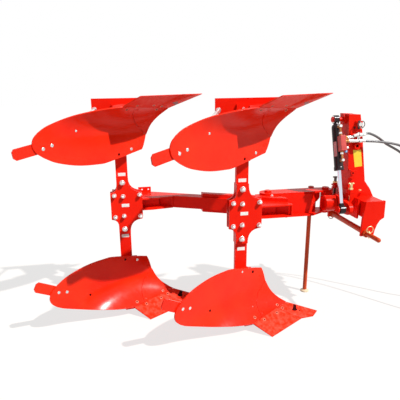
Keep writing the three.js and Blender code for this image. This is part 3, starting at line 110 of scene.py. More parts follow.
def finish(name, colour, other, roughness=(0.25, 0.35), metal=0.0, relief=0.1, grain=600.0,
           broad=4.0, stretch=(1, 1, 1), specular=0.4, depth=0.0002, share=(0.35, 0.7)):
    """A surface with slow changes of colour, finer changes of gloss and a fine relief."""
    made = bpy.data.materials.new(name)
    made.use_nodes = True
    tree = made.node_tree
    surface = tree.nodes["Principled BSDF"]
    surface.inputs["Metallic"].default_value = metal
    surface.inputs["Specular IOR Level"].default_value = specular
    coord = tree.nodes.new("ShaderNodeTexCoord")
    mapping = tree.nodes.new("ShaderNodeMapping")
    mapping.inputs["Scale"].default_value = stretch
    tree.links.new(coord.outputs["Object"], mapping.inputs["Vector"])

    def noise(scale, detail, rough=0.55):
        node = tree.nodes.new("ShaderNodeTexNoise")
        node.inputs["Scale"].default_value = scale
        node.inputs["Detail"].default_value = detail
        node.inputs["Roughness"].default_value = rough
        tree.links.new(mapping.outputs["Vector"], node.inputs["Vector"])
        return node.outputs["Fac"]

    ramp = tree.nodes.new("ShaderNodeValToRGB")
    ramp.color_ramp.elements[0].position = share[0]
    ramp.color_ramp.elements[1].position = share[1]
    ramp.color_ramp.elements[0].color = colour
    ramp.color_ramp.elements[1].color = other
    tree.links.new(noise(broad, 6, 0.6), ramp.inputs["Fac"])
    tree.links.new(ramp.outputs["Color"], surface.inputs["Base Color"])
    gloss = tree.nodes.new("ShaderNodeMapRange")
    gloss.inputs["From Min"].default_value = 0.3
    gloss.inputs["From Max"].default_value = 0.7
    gloss.inputs["To Min"].default_value = roughness[0]
    gloss.inputs["To Max"].default_value = roughness[1]
    tree.links.new(noise(broad * 9, 5), gloss.inputs["Value"])
    tree.links.new(gloss.outputs["Result"], surface.inputs["Roughness"])
    bump = tree.nodes.new("ShaderNodeBump")
    bump.inputs["Strength"].default_value = relief
    bump.inputs["Distance"].default_value = depth
    tree.links.new(noise(grain, 3), bump.inputs["Height"])
    tree.links.new(bump.outputs["Normal"], surface.inputs["Normal"])
    return made


rubber = finish("hose_rubber", seen(88, 85, 87), seen(108, 104, 105), (0.26, 0.4), relief=0.35,
                grain=1400, broad=20, specular=0.7)

cylinder_x = 630
axis_y = 146
pin_height, crank_radius = 535, 172
lean = math.atan2(crank_radius, pin_height)
hose_radius = 7.5
clip_x, clip_y, clip_half = 761, 62, 18
port_x, port_y, port_spread, port_lead = 46.3, -30.3, 42, 15
coil_radius, coil_pitch, coil_turns, coil_steps = 106, 16, 2.5, 24
climb_turns = 0.5
coil_lead = coil_end = 15
joint_gap = 0.3
coil_low, coil_high = ground + hose_radius, ground + 28.3
# Share of the way across the valve block, port on the cylinder, height at the clip, coil's start
hose_facts = {"upper": (0.32, -122, 446, (1300, 60)), "lower": (0.68, -148, 409, (1228, -171))}
hose_routes = {
    "upper": [[808, 66, 453], [848, 70, 442], [895, 72, 418], [943, 72, 384], [1040, 68, 331],
              [1110, 64, 275], [1165, 62, 180], [1195, 60, 50], [1207, 60, -120], [1212, 60, -320],
              [1215, 60, -500], [1221, 60, -590], [1240, 60, -656], [1276, 60, -690]],
    "lower": [[806, 58, 406], [867, 53, 402], [919, 52, 395], [980, 50, 385], [1035, 46, 368],
              [1095, 38, 325], [1145, 20, 245], [1175, -8, 110], [1183, -45, -80],
              [1180, -90, -280], [1172, -130, -460], [1168, -152, -575], [1176, -164, -648],
              [1204, -170, -689]],
}


def on_cylinder(x, y, z):
    """A place given from the upper pin, along the leaning cylinder."""
    return (cylinder_x + x, axis_y + y * math.cos(lean) + z * math.sin(lean),
            pin_height - y * math.sin(lean) + z * math.cos(lean))


def through(points):
    """The knots of a smooth line through the points, and the two handles of each stretch."""
    places = [Vector(p) for p in points]
    ends = [places[0] * 2 - places[1], *places, places[-1] * 2 - places[-2]]
    handles = []
    for i in range(1, len(ends) - 2):
        p0, p1, p2, p3 = ends[i - 1:i + 3]
        g0, g1, g2 = (max((b - a).length ** 0.5, 1e-6) for a, b in ((p0, p1), (p1, p2), (p2, p3)))
        leave = ((p1 - p0) / g0 - (p2 - p0) / (g0 + g1) + (p2 - p1) / g1) * g1
        reach = ((p2 - p1) / g1 - (p3 - p1) / (g1 + g2) + (p3 - p2) / g2) * g1
        handles.append((p1 + leave / 3, p2 - reach / 3))
    return places, handles


def coil(x, y):
    """The coil's points from its start on the ground, and the way that its end points."""
    points = [(x, y, coil_low), (x + coil_lead, y, coil_low)]
    for i in range(1, round(coil_turns * coil_steps) + 1):
        turn = i / coil_steps
        angle = math.pi / 2 - turn * 2 * math.pi
        radius = coil_radius - turn * coil_pitch
        climb = max(turn - (coil_turns - climb_turns), 0) / climb_turns
        z = coil_low + (coil_high - coil_low) * climb * climb * (3 - 2 * climb)
        points.append((x + coil_lead + radius * math.cos(angle),
                       y - coil_radius + radius * math.sin(angle), z))
    last, before = Vector(points[-1]), Vector(points[-2])
    onward = Vector((last.x - before.x, last.y - before.y, 0)).normalized()
    return points + [tuple(last + onward * coil_end / 2), tuple(last + onward * coil_end)], onward


hose_runs, hose_outlets, hose_tips = {}, {}, {}
for name, (across, port, clip_z, coil_start) in hose_facts.items():
    x, y, z = on_cylinder(port_x, port_y - port_spread * across, port)
    turns, onward = coil(*coil_start)
    landing = (coil_start[0] - joint_gap, coil_start[1], coil_low)
    route = [(x, y, z), (x + port_lead, y, z),
             *[(clip_x + step, clip_y, clip_z) for step in (-clip_half, 0, clip_half)],
             *hose_routes[name], (landing[0] - coil_end / 2, landing[1], landing[2]), landing]
    (knots, handles), (coil_knots, coil_handles) = through(route), through(turns)
    knots = knots[:-1] + coil_knots
    handles = handles + coil_handles
    curve = bpy.data.curves.new(name + "_hose_run", "CURVE")
    curve.dimensions = "3D"
    curve.bevel_depth = hose_radius / 1000
    curve.bevel_resolution = 5
    curve.resolution_u = 7
    curve.use_fill_caps = True
    spline = curve.splines.new("BEZIER")
    spline.bezier_points.add(len(knots) - 1)
    for i, (knot, point) in enumerate(zip(knots, spline.bezier_points)):
        point.handle_left_type = point.handle_right_type = "FREE"
        point.co = at(*knot)
        point.handle_left = at(*(handles[i - 1][1] if i else knot))
        point.handle_right = at(*(handles[i][0] if i < len(handles) else knot))
    curve.materials.append(rubber)
    run = bpy.data.objects.new(name + "_hose_run", curve)
    bpy.context.scene.collection.objects.link(run)
    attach(run, "headstock")
    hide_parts(name + "_hose", name + "_hose_coil")
    hose_runs[name] = run
    hose_outlets[name] = (x, y, z)
    hose_tips[name] = (Vector(turns[-1]) + onward * joint_gap, onward)

# Couplers of the hoses. Steel plugs with a knurled sleeve, turned from bar, zinc plated and screwed
# on the hose's end. They push into the tractor's outlets.
zinc = finish("zinc_plate", seen(236, 236, 234), seen(206, 207, 204), (0.2, 0.36), metal=0.85,
              relief=0.2, grain=900, broad=30)
coupler_profile = [(0, 0), (0, 8.4), (1, 9), (10, 9), (10, 12), (11, 13), (22, 13), (23, 12),
                   (25, 12), (26, 13), (47, 13), (48, 12), (48, 10), (49, 9), (57, 9), (58, 8),
                   (58, 5), (50, 5), (50, 0)]


def turned(form, profile, start, along, sides):
    """A turned part on an axis, from pairs of distance along it and radius, in millimetres."""
    axis = Vector(along).normalized()
    first = axis.orthogonal().normalized()
    second = axis.cross(first)
    base = Vector(start)
    rings = []
    for distance, radius in profile:
        centre = base + axis * distance / 1000
        if radius <= 0:
            rings.append([form.verts.new(centre)])
            continue
        ring = []
        for i in range(sides):
            angle = 2 * math.pi * i / sides
            out = first * math.cos(angle) + second * math.sin(angle)
            ring.append(form.verts.new(centre + out * radius / 1000))
        rings.append(ring)
    for low, high in zip(rings, rings[1:]):
        for i in range(sides):
            j = (i + 1) % sides
            if len(low) == 1 and len(high) > 1:
                form.faces.new((low[0], high[i], high[j]))
            elif len(high) == 1 and len(low) > 1:
                form.faces.new((low[i], low[j], high[0]))
            elif len(low) > 1:
                form.faces.new((low[i], low[j], high[j], high[i]))


def piece(name, form, material, body, replaces=(), smooth=35, bevel=0.0, segments=2,
          fix=True):
    """A piece from a mesh in the making, smooth but for its sharp edges, that rides on its body."""
    if fix:
        bmesh.ops.recalc_face_normals(form, faces=form.faces)
    limit = math.radians(smooth)
    for face in form.faces:
        face.smooth = True
    for edge in form.edges:
        edge.smooth = not (len(edge.link_faces) == 2 and edge.calc_face_angle(0) > limit)
    mesh = bpy.data.meshes.new(name)
    form.to_mesh(mesh)
    form.free()
    mesh.materials.append(material)
    obj = bpy.data.objects.new(name, mesh)
    bpy.context.scene.collection.objects.link(obj)
    if bevel:
        edges = obj.modifiers.new("edges", "BEVEL")
        edges.width = bevel
        edges.segments = segments
        edges.limit_method = "ANGLE"
        edges.angle_limit = limit
        edges.harden_normals = True
    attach(obj, body)
    if replaces:
        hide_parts(*replaces)
    return obj


for name, (tip, onward) in hose_tips.items():
    form = bmesh.new()
    turned(form, coupler_profile, at(*tip), onward, sides=40)
    piece(name + "_coupler", form, zinc, "headstock",
                           (name + "_hose_coupler",))

# Ferrules of the hoses. Steel sleeves crimped over the hose's end, each with the swivel nut that
# holds it on the valve block.
ferrule_profile = [(0, 0), (0, 9.2), (0.6, 10.6), (9, 10.6), (10, 9.6), (10, 8.4), (11.5, 8.4),
                   (12.5, 9.9), (36, 9.9), (38, 8.9), (40, 7.7)]
for name, outlet in hose_outlets.items():
    form = bmesh.new()
    turned(form, ferrule_profile, at(*outlet), (1, 0, 0), sides=36)
    piece(name + "_hose_ferrule", form, zinc, "headstock")

# Guards of the hoses. White plastic sleeves, slipped over the hose on both sides of the clip so
# that it doesn't chafe there.
white_label = finish("white_label", seen(240, 240, 236), seen(228, 227, 222), (0.4, 0.5),
                     relief=0.05, broad=40)
guard_radius, guard_sides, guard_steps = 0.0092, 20, 8
ferrule_length = 40
guard_end = 796
clip_space = (750, 772)


def on_stretch(a, b, t):
    """The place at share t of the stretch between two knots of a hose."""
    return (a.co * (1 - t) ** 3 + a.handle_right * 3 * t * (1 - t) ** 2
            + b.handle_left * 3 * t * t * (1 - t) + b.co * t ** 3)


for name, run in hose_runs.items():
    form = bmesh.new()
    knots = run.data.splines[0].bezier_points
    middles = [on_stretch(a, b, k / guard_steps) for a, b in zip(knots[1:7], knots[2:8])
               for k in range(guard_steps)]
    start = hose_outlets[name][0] + ferrule_length
    for first, last in ((start, clip_space[0]), (clip_space[1], guard_end)):
        part = [v for v in middles if at(first, 0, 0).x < v.x < at(last, 0, 0).x]
        rings = []
        for i, centre in enumerate(part):
            along = (part[min(i + 1, len(part) - 1)] - part[max(i - 1, 0)]).normalized()
            out = along.cross(Vector((0, 1, 0))).normalized()
            third = along.cross(out)
            ways = [out * math.cos(a) + third * math.sin(a)
                    for a in (2 * math.pi * k / guard_sides for k in range(guard_sides))]
            rings.append([form.verts.new(centre + way * guard_radius) for way in ways])
        for low, high in zip(rings, rings[1:]):
            for k in range(guard_sides):
                j = (k + 1) % guard_sides
                form.faces.new((low[k], low[j], high[j], high[k]))
        form.faces.new(rings[0])
        form.faces.new(rings[-1])
    guard = piece(name + "_hose_guard", form, white_label, "headstock")

# Mouldboards. Plates of wear steel, cut to their outline, pressed hot to the working face and
# enamelled. All four bodies share that face: p runs back along its level lines and h is the height,
# in millimetres. They stand on two stations of the beam, each with its twin turned over.
board_red = finish("board_enamel", seen(246, 46, 18), seen(235, 31, 11), (0.17, 0.26), relief=0.10,
                   depth=0.0005, grain=140, specular=0.17)
body_back, body_across = 700, 356
line_angle = math.radians(29)
board_length, board_height, board_thickness = 600, 396, 8
crown_depth, crown_height = 50, 235
toe_sweep, toe_end, toe_fade, toe_power = 241, 60, 420, 1.6
tail_sweep = 28
shin_curl, shin_reach, shin_rise = 22, 160, 260
share_start, share_run, share_top, share_fall = -275, 340, 85, 22
seam_half = 0.7
fine_steps = 40
seam_steps, crown_steps, lap_steps, foot_steps = 27, 7, 5, 39


def face_depth(p, h):
    """How far back the working face stands, square to its level lines."""
    bend = max(crown_height - h, 0) / crown_height
    fade = min(max((p - toe_end) / toe_fade, 0), 1)
    rise = (h - share_top) / shin_rise
    curl = max(4 * rise * (1 - rise), 0) * (min(p, 0) / shin_reach) ** 2
    return (crown_depth + toe_sweep * bend ** 2 * (1 - fade ** toe_power)
            + tail_sweep * (max(p, 0) / board_length) ** 2 + shin_curl * curl)


def face_place(p, h):
    c, s = math.cos(line_angle), math.sin(line_angle)
    depth = face_depth(p, h)
    return Vector((-p * c + depth * s, -p * s - depth * c, h + ground))


def face_normal(p, h):
    back = face_place(p + 1, h) - face_place(p - 1, h)
    up = face_place(p, h + 1) - face_place(p, h - 1)
    return up.cross(back).normalized()


def curve_line(points, count):
    """Even steps along a smooth line through the points."""
    points = [np.array(p, float) for p in points]
    fine = []
    for i in range(len(points) - 1):
        p0, p1 = points[max(i - 1, 0)], points[i]
        p2, p3 = points[i + 1], points[min(i + 2, len(points) - 1)]
        for k in range(fine_steps):
            t = k / fine_steps
            v0, v1 = (p2 - p0) / 2, (p3 - p1) / 2
            fine.append((2 * p1 - 2 * p2 + v0 + v1) * t ** 3
                        + (-3 * p1 + 3 * p2 - 2 * v0 - v1) * t ** 2 + v0 * t + p1)
    fine.append(points[-1])
    fine = np.array(fine)
    run = np.concatenate([[0], np.cumsum(np.linalg.norm(np.diff(fine, axis=0), axis=1))])
    wanted = np.linspace(0, run[-1], count + 1)
    return np.stack([np.interp(wanted, run, fine[:, k]) for k in range(2)], axis=1)


def straight(a, b, count):
    return np.linspace(np.array(a, float), np.array(b, float), count + 1)


def chained(a, b):
    return np.concatenate([a, b[1:]])


def filled(bottom, top, left, right):
    """A grid of places inside four border lines."""
    columns, rows = len(bottom) - 1, len(left) - 1
    made = []
    for j in range(rows + 1):
        v = j / rows
        row = []
        for i in range(columns + 1):
            u = i / columns
            corners = ((bottom[0] * (1 - u) + bottom[-1] * u) * (1 - v)
                       + (top[0] * (1 - u) + top[-1] * u) * v)
            row.append(bottom[i] * (1 - v) + top[i] * v + left[j] * (1 - u) + right[j] * u
                       - corners)
        made.append(row)
    return made


def on_share_line(p):
    """Where the share meets the mouldboard and the shin."""
    return np.array([p, share_top - share_fall * (p - share_start) / share_run])


def in_board(shares):
    return [(p * board_length, h * board_height) for p, h in shares]


def curved(form, front, back):
    """A curved plate from two equal grids of points."""
    rows, columns = len(front), len(front[0])
    a = [[form.verts.new(p) for p in row] for row in front]
    b = [[form.verts.new(p) for p in row] for row in back]
    for j in range(rows - 1):
        for i in range(columns - 1):
            form.faces.new((a[j][i], a[j][i + 1], a[j + 1][i + 1], a[j + 1][i]))
            form.faces.new((b[j][i], b[j + 1][i], b[j + 1][i + 1], b[j][i + 1]))
    rim = [(0, i) for i in range(columns)] + [(j, columns - 1) for j in range(1, rows)]
    rim += [(rows - 1, i) for i in range(columns - 2, -1, -1)]
    rim += [(j, 0) for j in range(rows - 2, 0, -1)]
    for (j, i), (m, n) in zip(rim, rim[1:] + rim[:1]):
        form.faces.new((a[j][i], a[m][n], b[m][n], b[j][i]))


def pressed(form, grid, place):
    """A plate of the board's thickness with its front in the working face."""
    rows = [[(face_place(p, h), face_normal(p, h)) for p, h in row] for row in grid]
    curved(form, [[place(x) for x, _ in row] for row in rows],
           [[place(x - n * board_thickness) for x, n in row] for row in rows])


def station(row, storey):
    """How places and ways on the front lower body carry over to another body."""
    back = 1 if row == "rear" else 0
    turn = 1 if storey == "lower" else -1

    def place(point):
        x, y, z = point
        return at(x - body_back * back, y + body_across * back, z * turn)

    def direction(vector):
        return Vector((vector[0], vector[1], vector[2] * turn))

    return place, direction


bodies = {row + "_" + storey: station(row, storey)
          for row in ("front", "rear") for storey in ("lower", "upper")}

seam_foot, share_gap = -20, 0.6
seam_start = on_share_line(seam_foot) + np.array([0, share_gap])
seam_line = [seam_start, *in_board([(-0.045, 0.247), (-0.083, 0.343), (-0.142, 0.455),
                                    (-0.195, 0.528), (-0.252, 0.624)])]
crown_line = in_board([(-0.252, 0.624), (-0.233, 0.773), (-0.215, 0.848)])
tail_line = in_board([(0.9, 0.455), (0.95, 0.53), (0.966, 0.62), (0.938, 0.723), (0.865, 0.81)])
share_corner = (65, 63.6)
foot_line = [share_corner, *in_board([(0.25, 0.179), (0.393, 0.21), (0.59, 0.27), (0.8, 0.372),
                                      (0.9, 0.455)])]
top_line = in_board([(0.183, 0.985), (0.317, 1), (0.53, 0.978), (0.74, 0.902), (0.865, 0.81)])
board_seam = curve_line(seam_line, seam_steps) + seam_half
board_crown = curve_line(crown_line, crown_steps) + seam_half
board_foot = chained(straight(board_seam[0], share_corner, lap_steps),
                     curve_line(foot_line, foot_steps))
board_top = curve_line([tuple(board_crown[-1]), *top_line], lap_steps + foot_steps)
board_grid = filled(board_foot, board_top, chained(board_seam, board_crown),
                    curve_line(tail_line, seam_steps + crown_steps))
boards = {}
for prefix, (place, _) in bodies.items():
    form = bmesh.new()
    pressed(form, board_grid, place)
    boards[prefix] = piece(prefix + "_board", form, board_red, "beam",
                           (prefix + "_mouldboard",), smooth=50, bevel=0.0012)

# Shins. The wear pieces in front of the mouldboards, pressed from the same plate to the same curve
# and bolted on against a narrow seam, so that they can be changed alone.
shin_rows = 15
shin_corner = (share_start, 85.6)
shin_seam = curve_line(seam_line, seam_steps) - seam_half
shin_foot = straight(shin_corner, shin_seam[0], seam_steps - shin_rows)
shin_edge = curve_line([shin_corner, *in_board([(-0.37, 0.318), (-0.307, 0.437), (-0.265, 0.586)]),
                        shin_seam[-1]], shin_rows)
shin_grid = filled(shin_foot, shin_seam[shin_rows:][::-1], shin_edge, shin_seam[:shin_rows + 1])
shins = {}
for prefix, (place, _) in bodies.items():
    form = bmesh.new()
    pressed(form, shin_grid, place)
    shins[prefix] = piece(prefix + "_shin_plate", form, board_red, "beam",
                          (prefix + "_shin",), smooth=50, bevel=0.0012)

# Bolts of the mouldboards. Zinc plated plough bolts with countersunk heads, level with the face.
# The gap round each head is a thin ring of painted shade, and one or two holes are left open, each
# drawn as a disc of painted shade.
# Painted shade: near-black for holes, gaps and slots that are drawn as dark surfaces instead of
# being cut.
shade = finish("painted_recess_shade", seen(70, 6, 8), seen(44, 4, 6), (0.6, 0.8), relief=0.2, broad=40,
               specular=0.03)
board_bolts = ((519, 270, 1), (466, 256, 1), (315, 188, 0.7), (-51, 328, 0.9), (40, 352, 0.72))
empty_holes = {"front_lower": (2, 3), "rear_lower": (2, 4), "front_upper": (4,), "rear_upper": (4,)}


def fastener_tree(name, profile, radius, height, sides=24):
    """A fastener's node tree: rings turned about the way it points, set on every point of a point
    mesh. The profile is in shares of height and radius, which are in metres, and each point holds
    its own way and scale."""
    tree = bpy.data.node_groups.new(name, "GeometryNodeTree")
    face = tree.interface
    face.new_socket("Geometry", in_out="OUTPUT", socket_type="NodeSocketGeometry")
    face.new_socket("Geometry", in_out="INPUT", socket_type="NodeSocketGeometry")
    for socket, value in (("Radius", radius), ("Height", height)):
        face.new_socket(socket, in_out="INPUT", socket_type="NodeSocketFloat").default_value = value
    face.new_socket("Sides", in_out="INPUT", socket_type="NodeSocketInt").default_value = sides
    face.new_socket("Material", in_out="INPUT", socket_type="NodeSocketMaterial")
    given = tree.nodes.new("NodeGroupInput")

    def share_of(socket, share):
        node = tree.nodes.new("ShaderNodeMath")
        node.operation = "MULTIPLY"
        node.inputs[1].default_value = share
        tree.links.new(given.outputs[socket], node.inputs[0])
        return node.outputs[0]

    join = tree.nodes.new("GeometryNodeJoinGeometry")
    for (low, inner), (high, outer) in zip(profile, profile[1:]):
        ring = tree.nodes.new("GeometryNodeMeshCone")
        ring.fill_type = "NONE"
        tree.links.new(given.outputs["Sides"], ring.inputs["Vertices"])
        tree.links.new(share_of("Radius", inner), ring.inputs["Radius Bottom"])
        tree.links.new(share_of("Radius", outer), ring.inputs["Radius Top"])
        tree.links.new(share_of("Height", high - low), ring.inputs["Depth"])
        lift = tree.nodes.new("ShaderNodeCombineXYZ")
        tree.links.new(share_of("Height", low), lift.inputs["Z"])
        move = tree.nodes.new("GeometryNodeTransform")
        tree.links.new(ring.outputs["Mesh"], move.inputs["Geometry"])
        tree.links.new(lift.outputs[0], move.inputs["Translation"])
        tree.links.new(move.outputs[0], join.inputs[0])
    weld = tree.nodes.new("GeometryNodeMergeByDistance")
    weld.inputs["Distance"].default_value = 0.000005
    tree.links.new(join.outputs[0], weld.inputs["Geometry"])
    held = {}
    for attribute in ("way", "scale"):
        node = tree.nodes.new("GeometryNodeInputNamedAttribute")
        node.data_type = "FLOAT_VECTOR"
        node.inputs["Name"].default_value = attribute
        held[attribute] = node.outputs["Attribute"]
    turn = tree.nodes.new("FunctionNodeAlignRotationToVector")
    turn.axis = "Z"
    tree.links.new(held["way"], turn.inputs["Vector"])
    onto = tree.nodes.new("GeometryNodeInstanceOnPoints")
    tree.links.new(given.outputs["Geometry"], onto.inputs["Points"])
    tree.links.new(weld.outputs[0], onto.inputs["Instance"])
    tree.links.new(turn.outputs[0], onto.inputs["Rotation"])
    tree.links.new(held["scale"], onto.inputs["Scale"])
    real = tree.nodes.new("GeometryNodeRealizeInstances")
    tree.links.new(onto.outputs[0], real.inputs[0])
    painted = tree.nodes.new("GeometryNodeSetMaterial")
    tree.links.new(real.outputs[0], painted.inputs["Geometry"])
    tree.links.new(given.outputs["Material"], painted.inputs["Material"])
    tree.links.new(painted.outputs[0], tree.nodes.new("NodeGroupOutput").inputs[0])
    return tree


def fasteners(name, tree, spots, material, body):
    """Fasteners of one kind on one body, from the place, way and width scale of each."""
    points = bpy.data.meshes.new(name + "_points")
    points.from_pydata([tuple(spot[0]) for spot in spots], [], [])
    ways = points.attributes.new("way", "FLOAT_VECTOR", "POINT")
    scales = points.attributes.new("scale", "FLOAT_VECTOR", "POINT")
    for i, (_, way, scale) in enumerate(spots):
        ways.data[i].vector = Vector(way).normalized()
        scales.data[i].vector = (scale, scale, 1)
    holder = bpy.data.objects.new(name + "_points", points)
    bpy.context.scene.collection.objects.link(holder)
    nodes = holder.modifiers.new("fasteners", "NODES")
    nodes.node_group = tree
    sockets = {item.name: item.identifier for item in tree.interface.items_tree
               if item.in_out == "INPUT"}
    nodes[sockets["Material"]] = material
    evaluated = holder.evaluated_get(bpy.context.evaluated_depsgraph_get())
    form = bmesh.new()
    form.from_mesh(bpy.data.meshes.new_from_object(evaluated))
    bpy.data.objects.remove(holder)
    return piece(name, form, material, body)


flush_head = fastener_tree("flush_head", [(-0.7, 0), (-0.7, 1), (0.15, 1), (0.65, 0.89),
                                          (0.93, 0.53), (1, 0)], radius=0.0094, height=0.0014)
flush_rim = fastener_tree("flush_rim", [(-5, 1), (1, 1), (1, 1.155), (-5, 1.155), (-5, 1)],
                          radius=0.009, height=0.0002)
for prefix, (place, direction) in bodies.items():
    spots = [(place(face_place(p, h)), direction(face_normal(p, h)), size)
             for p, h, size in board_bolts]
    empty = empty_holes[prefix]
    filled_holes = [spot for i, spot in enumerate(spots) if i not in empty]
    fasteners(prefix + "_board_bolts", flush_head, filled_holes, zinc, "beam")
    fasteners(prefix + "_board_hole_shade", flush_head, [spots[i] for i in empty], shade, "beam")
    fasteners(prefix + "_board_bolt_rim_shade", flush_rim, spots, shade, "beam")

# Shares. Forged blades under the mouldboards, ground to an edge along the front and bolted to the
# frog. Their enamel is rough and thin over the forged skin.
share_red = finish("share_enamel", seen(246, 44, 18), seen(250, 96, 78), (0.3, 0.42), relief=0.12,
                   depth=0.0005, grain=140, broad=40, specular=0.04, share=(0.4, 0.86))
blade_corner, blade_wing = Vector((386, -83, ground)), Vector((125, -262, ground))
blade_gap, blade_edge, blade_thickness = 1.8, 4, 10
blade_steps, blade_rows = 16, 6
blade_top_start, blade_top_run = -170.2, 235.2
blade_start = blade_corner + (blade_wing - blade_corner).normalized() * blade_gap
lower = [blade_start.lerp(blade_wing, i / blade_steps) for i in range(blade_steps + 1)]
upper = [face_place(*on_share_line(blade_top_start + blade_top_run * i / blade_steps))
         for i in range(blade_steps + 1)]
lip = [v + Vector((0, 0, blade_edge)) for v in lower]
blade_normal = (lip[-1] - lip[0]).cross(upper[0] - lip[0]).normalized()
if blade_normal.z < 0:
    blade_normal.negate()
blade_front = [[a.lerp(b, j / blade_rows) for a, b in zip(lip, upper)]
               for j in range(blade_rows + 1)]
blade_back = [[a.lerp(b - blade_normal * blade_thickness, j / blade_rows)
               for a, b in zip(lower, upper)] for j in range(blade_rows + 1)]
shares = {}
for prefix, (place, _) in bodies.items():
    form = bmesh.new()
    curved(form, [[place(v) for v in row] for row in blade_front],
           [[place(v) for v in row] for row in blade_back])
    shares[prefix] = piece(prefix + "_share_blade", form, share_red, "beam",
                           (prefix + "_share",), smooth=50, bevel=0.001)


# Chisel points. Thick forged bars in front of the shares, which can be pushed forward as they wear.
# They keep the CAD node's own shape, with its edges rounded.
def dressed(node, material, bevel=0.0015, segments=2):
    """A CAD node's own shape with its small radii, for forged, welded and machined pieces."""
    form = bmesh.new()
    form.from_mesh(frame["nodes"][node].data)
    bmesh.ops.remove_doubles(form, verts=form.verts, dist=0.00002)
    bmesh.ops.dissolve_limit(form, angle_limit=math.radians(0.4), verts=form.verts,
                             edges=form.edges)
    return piece(node + "_finished", form, material, frame["nodes"][node]["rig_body"],
                 (node,), smooth=33, bevel=bevel, segments=segments, fix=False)


chisel_points = {prefix: dressed(prefix + "_chisel_point", share_red, bevel=0.002)
                 for prefix in bodies}

# Bolts of the shares and shins. Square-necked plough bolts whose heads are painted over. On the
# share each head has a dark centre of painted shade and a pale rim of painted highlight.
# Painted shade, dark red, for the centres of the share bolts' heads and the slots of the upper
# points. Painted highlight, pale red, for the rims of the share bolts' heads.
painted_shade_red = finish("painted_shade_red_enamel", seen(150, 20, 14), seen(118, 14, 11), (0.3, 0.42), relief=0.15)
painted_highlight_red = finish("painted_highlight_red_enamel", seen(252, 150, 118), seen(246, 96, 66), (0.3, 0.42),
                  relief=0.2, broad=90)
share_head = fastener_tree("share_head", [(-3, 0), (-3, 1), (1, 1), (1, 0)],
                           radius=0.0072, height=0.0003)
share_rim = fastener_tree("share_rim", [(-0.8, 1), (0.7, 1), (1, 1.11), (0.7, 1.36), (-0.8, 1.44),
                                        (-0.8, 1)], radius=0.0072, height=0.0013)
focal_length, middle = 458.6, (192.9, 223.8)
shin_bolt_sights = [(260.7, 275.7), (261.2, 288.7), (253.4, 306.2), (262.5, 312.5)]
share_bolt_sights = [(254.8, 317.4), (264.5, 319.6), (276.9, 312.6), (277.2, 304.8), (282.5, 308.0)]


def seat(pieces, u, v):
    """Where the line of sight through a point of the 400-pixel frame meets the given pieces: the
    place on the plough's drawing and the surface's direction there."""
    line = (ahead + picture_right * (u - middle[0]) / focal_length
            - picture_up * (v - middle[1]) / focal_length).normalized()
    best = None
    for obj in pieces:
        tree = BVHTree.FromPolygons([v.co for v in obj.data.vertices],
                                    [f.vertices for f in obj.data.polygons])
        place, normal, _, distance = tree.ray_cast(eye, line)
        if place and (best is None or distance < best[2]):
            best = ((place - drawing) * 1000, normal if normal.dot(line) < 0 else -normal, distance)
    return best[:2]


front_body = [made["front_lower"] for made in (boards, shins, shares, chisel_points)]
shin_bolts = [seat(front_body, u, v) for u, v in shin_bolt_sights]
share_bolts = [seat(front_body, u, v) for u, v in share_bolt_sights]
for prefix, (place, direction) in bodies.items():
    for kind, bolts, head_metal, rim_metal in (("_share_bolt", share_bolts, painted_shade_red, painted_highlight_red),
                                               ("_shin_bolt", shin_bolts, board_red, board_red)):
        spots = [(place(foot), direction(out), 1) for foot, out in bolts]
        fasteners(prefix + kind + "s", share_head, spots, head_metal, "beam")
        fasteners(prefix + kind + "_rims", share_rim, spots, rim_metal, "beam")

# Slots and holes of the chisel points, punched through the bar for the driver that shifts it. They
# are drawn as thin plates and plugs of painted shade just over the enamel: near black on the lower
# bodies, dark red on the upper ones.
slot_sights = [((293.2, 303.9), (296.2, 305.0)), ((293.2, 305.4), (296.2, 306.0)),
               ((293.0, 306.8), (296.2, 307.2)), ((292.9, 308.2), (296.3, 308.3)),
               ((292.1, 309.0), (297.2, 309.0)), ((292.2, 310.0), (297.1, 310.0)),
               ((293.2, 310.7), (296.2, 310.7))]
hole_sight = (299.6, 310.4)
slot_proud, slot_below = 0.5, -2
hole_profile = [(-1, 0), (-1, 4.8), (0.5, 4.8), (0.5, 0)]
front_point = (chisel_points["front_lower"],)
slot_rows = [[seat(front_point, u, v) for u, v in pair] for pair in slot_sights]
hole_foot, hole_out = seat(front_point, *hole_sight)
for prefix, (place, direction) in bodies.items():
    form = bmesh.new()
    curved(form, *([[place(foot + out * lift) for foot, out in row] for row in slot_rows]
                   for lift in (slot_proud, slot_below)))
    turned(form, hole_profile, place(hole_foot), direction(hole_out), sides=20)
    piece(prefix + "_point_slot", form, shade if prefix.endswith("lower") else painted_shade_red, "beam")

# Legs with their frogs. Flat bars with the frog's plates welded across their ends, enamelled as one
# piece. A zinc plated hexagon bolt holds the frog.
red = finish("red_enamel", seen(242, 34, 14), seen(231, 25, 9), (0.24, 0.38), relief=0.12,
             depth=0.0004, grain=260, specular=0.08)
hexagon_head = fastener_tree("hexagon_head", [(0, 0), (0, 1), (0.85, 1), (1, 0.88), (1, 0)],
                             radius=0.009, height=0.008, sides=6)
leg_bolt_place = (1.7, 26.2, -621)
for prefix, (place, _) in bodies.items():
    dressed(prefix + "_leg", red, bevel=0.002)
    fasteners(prefix + "_leg_bolt", hexagon_head, [(place(leg_bolt_place), (0, -1, 0), 1)],
              zinc, "beam")

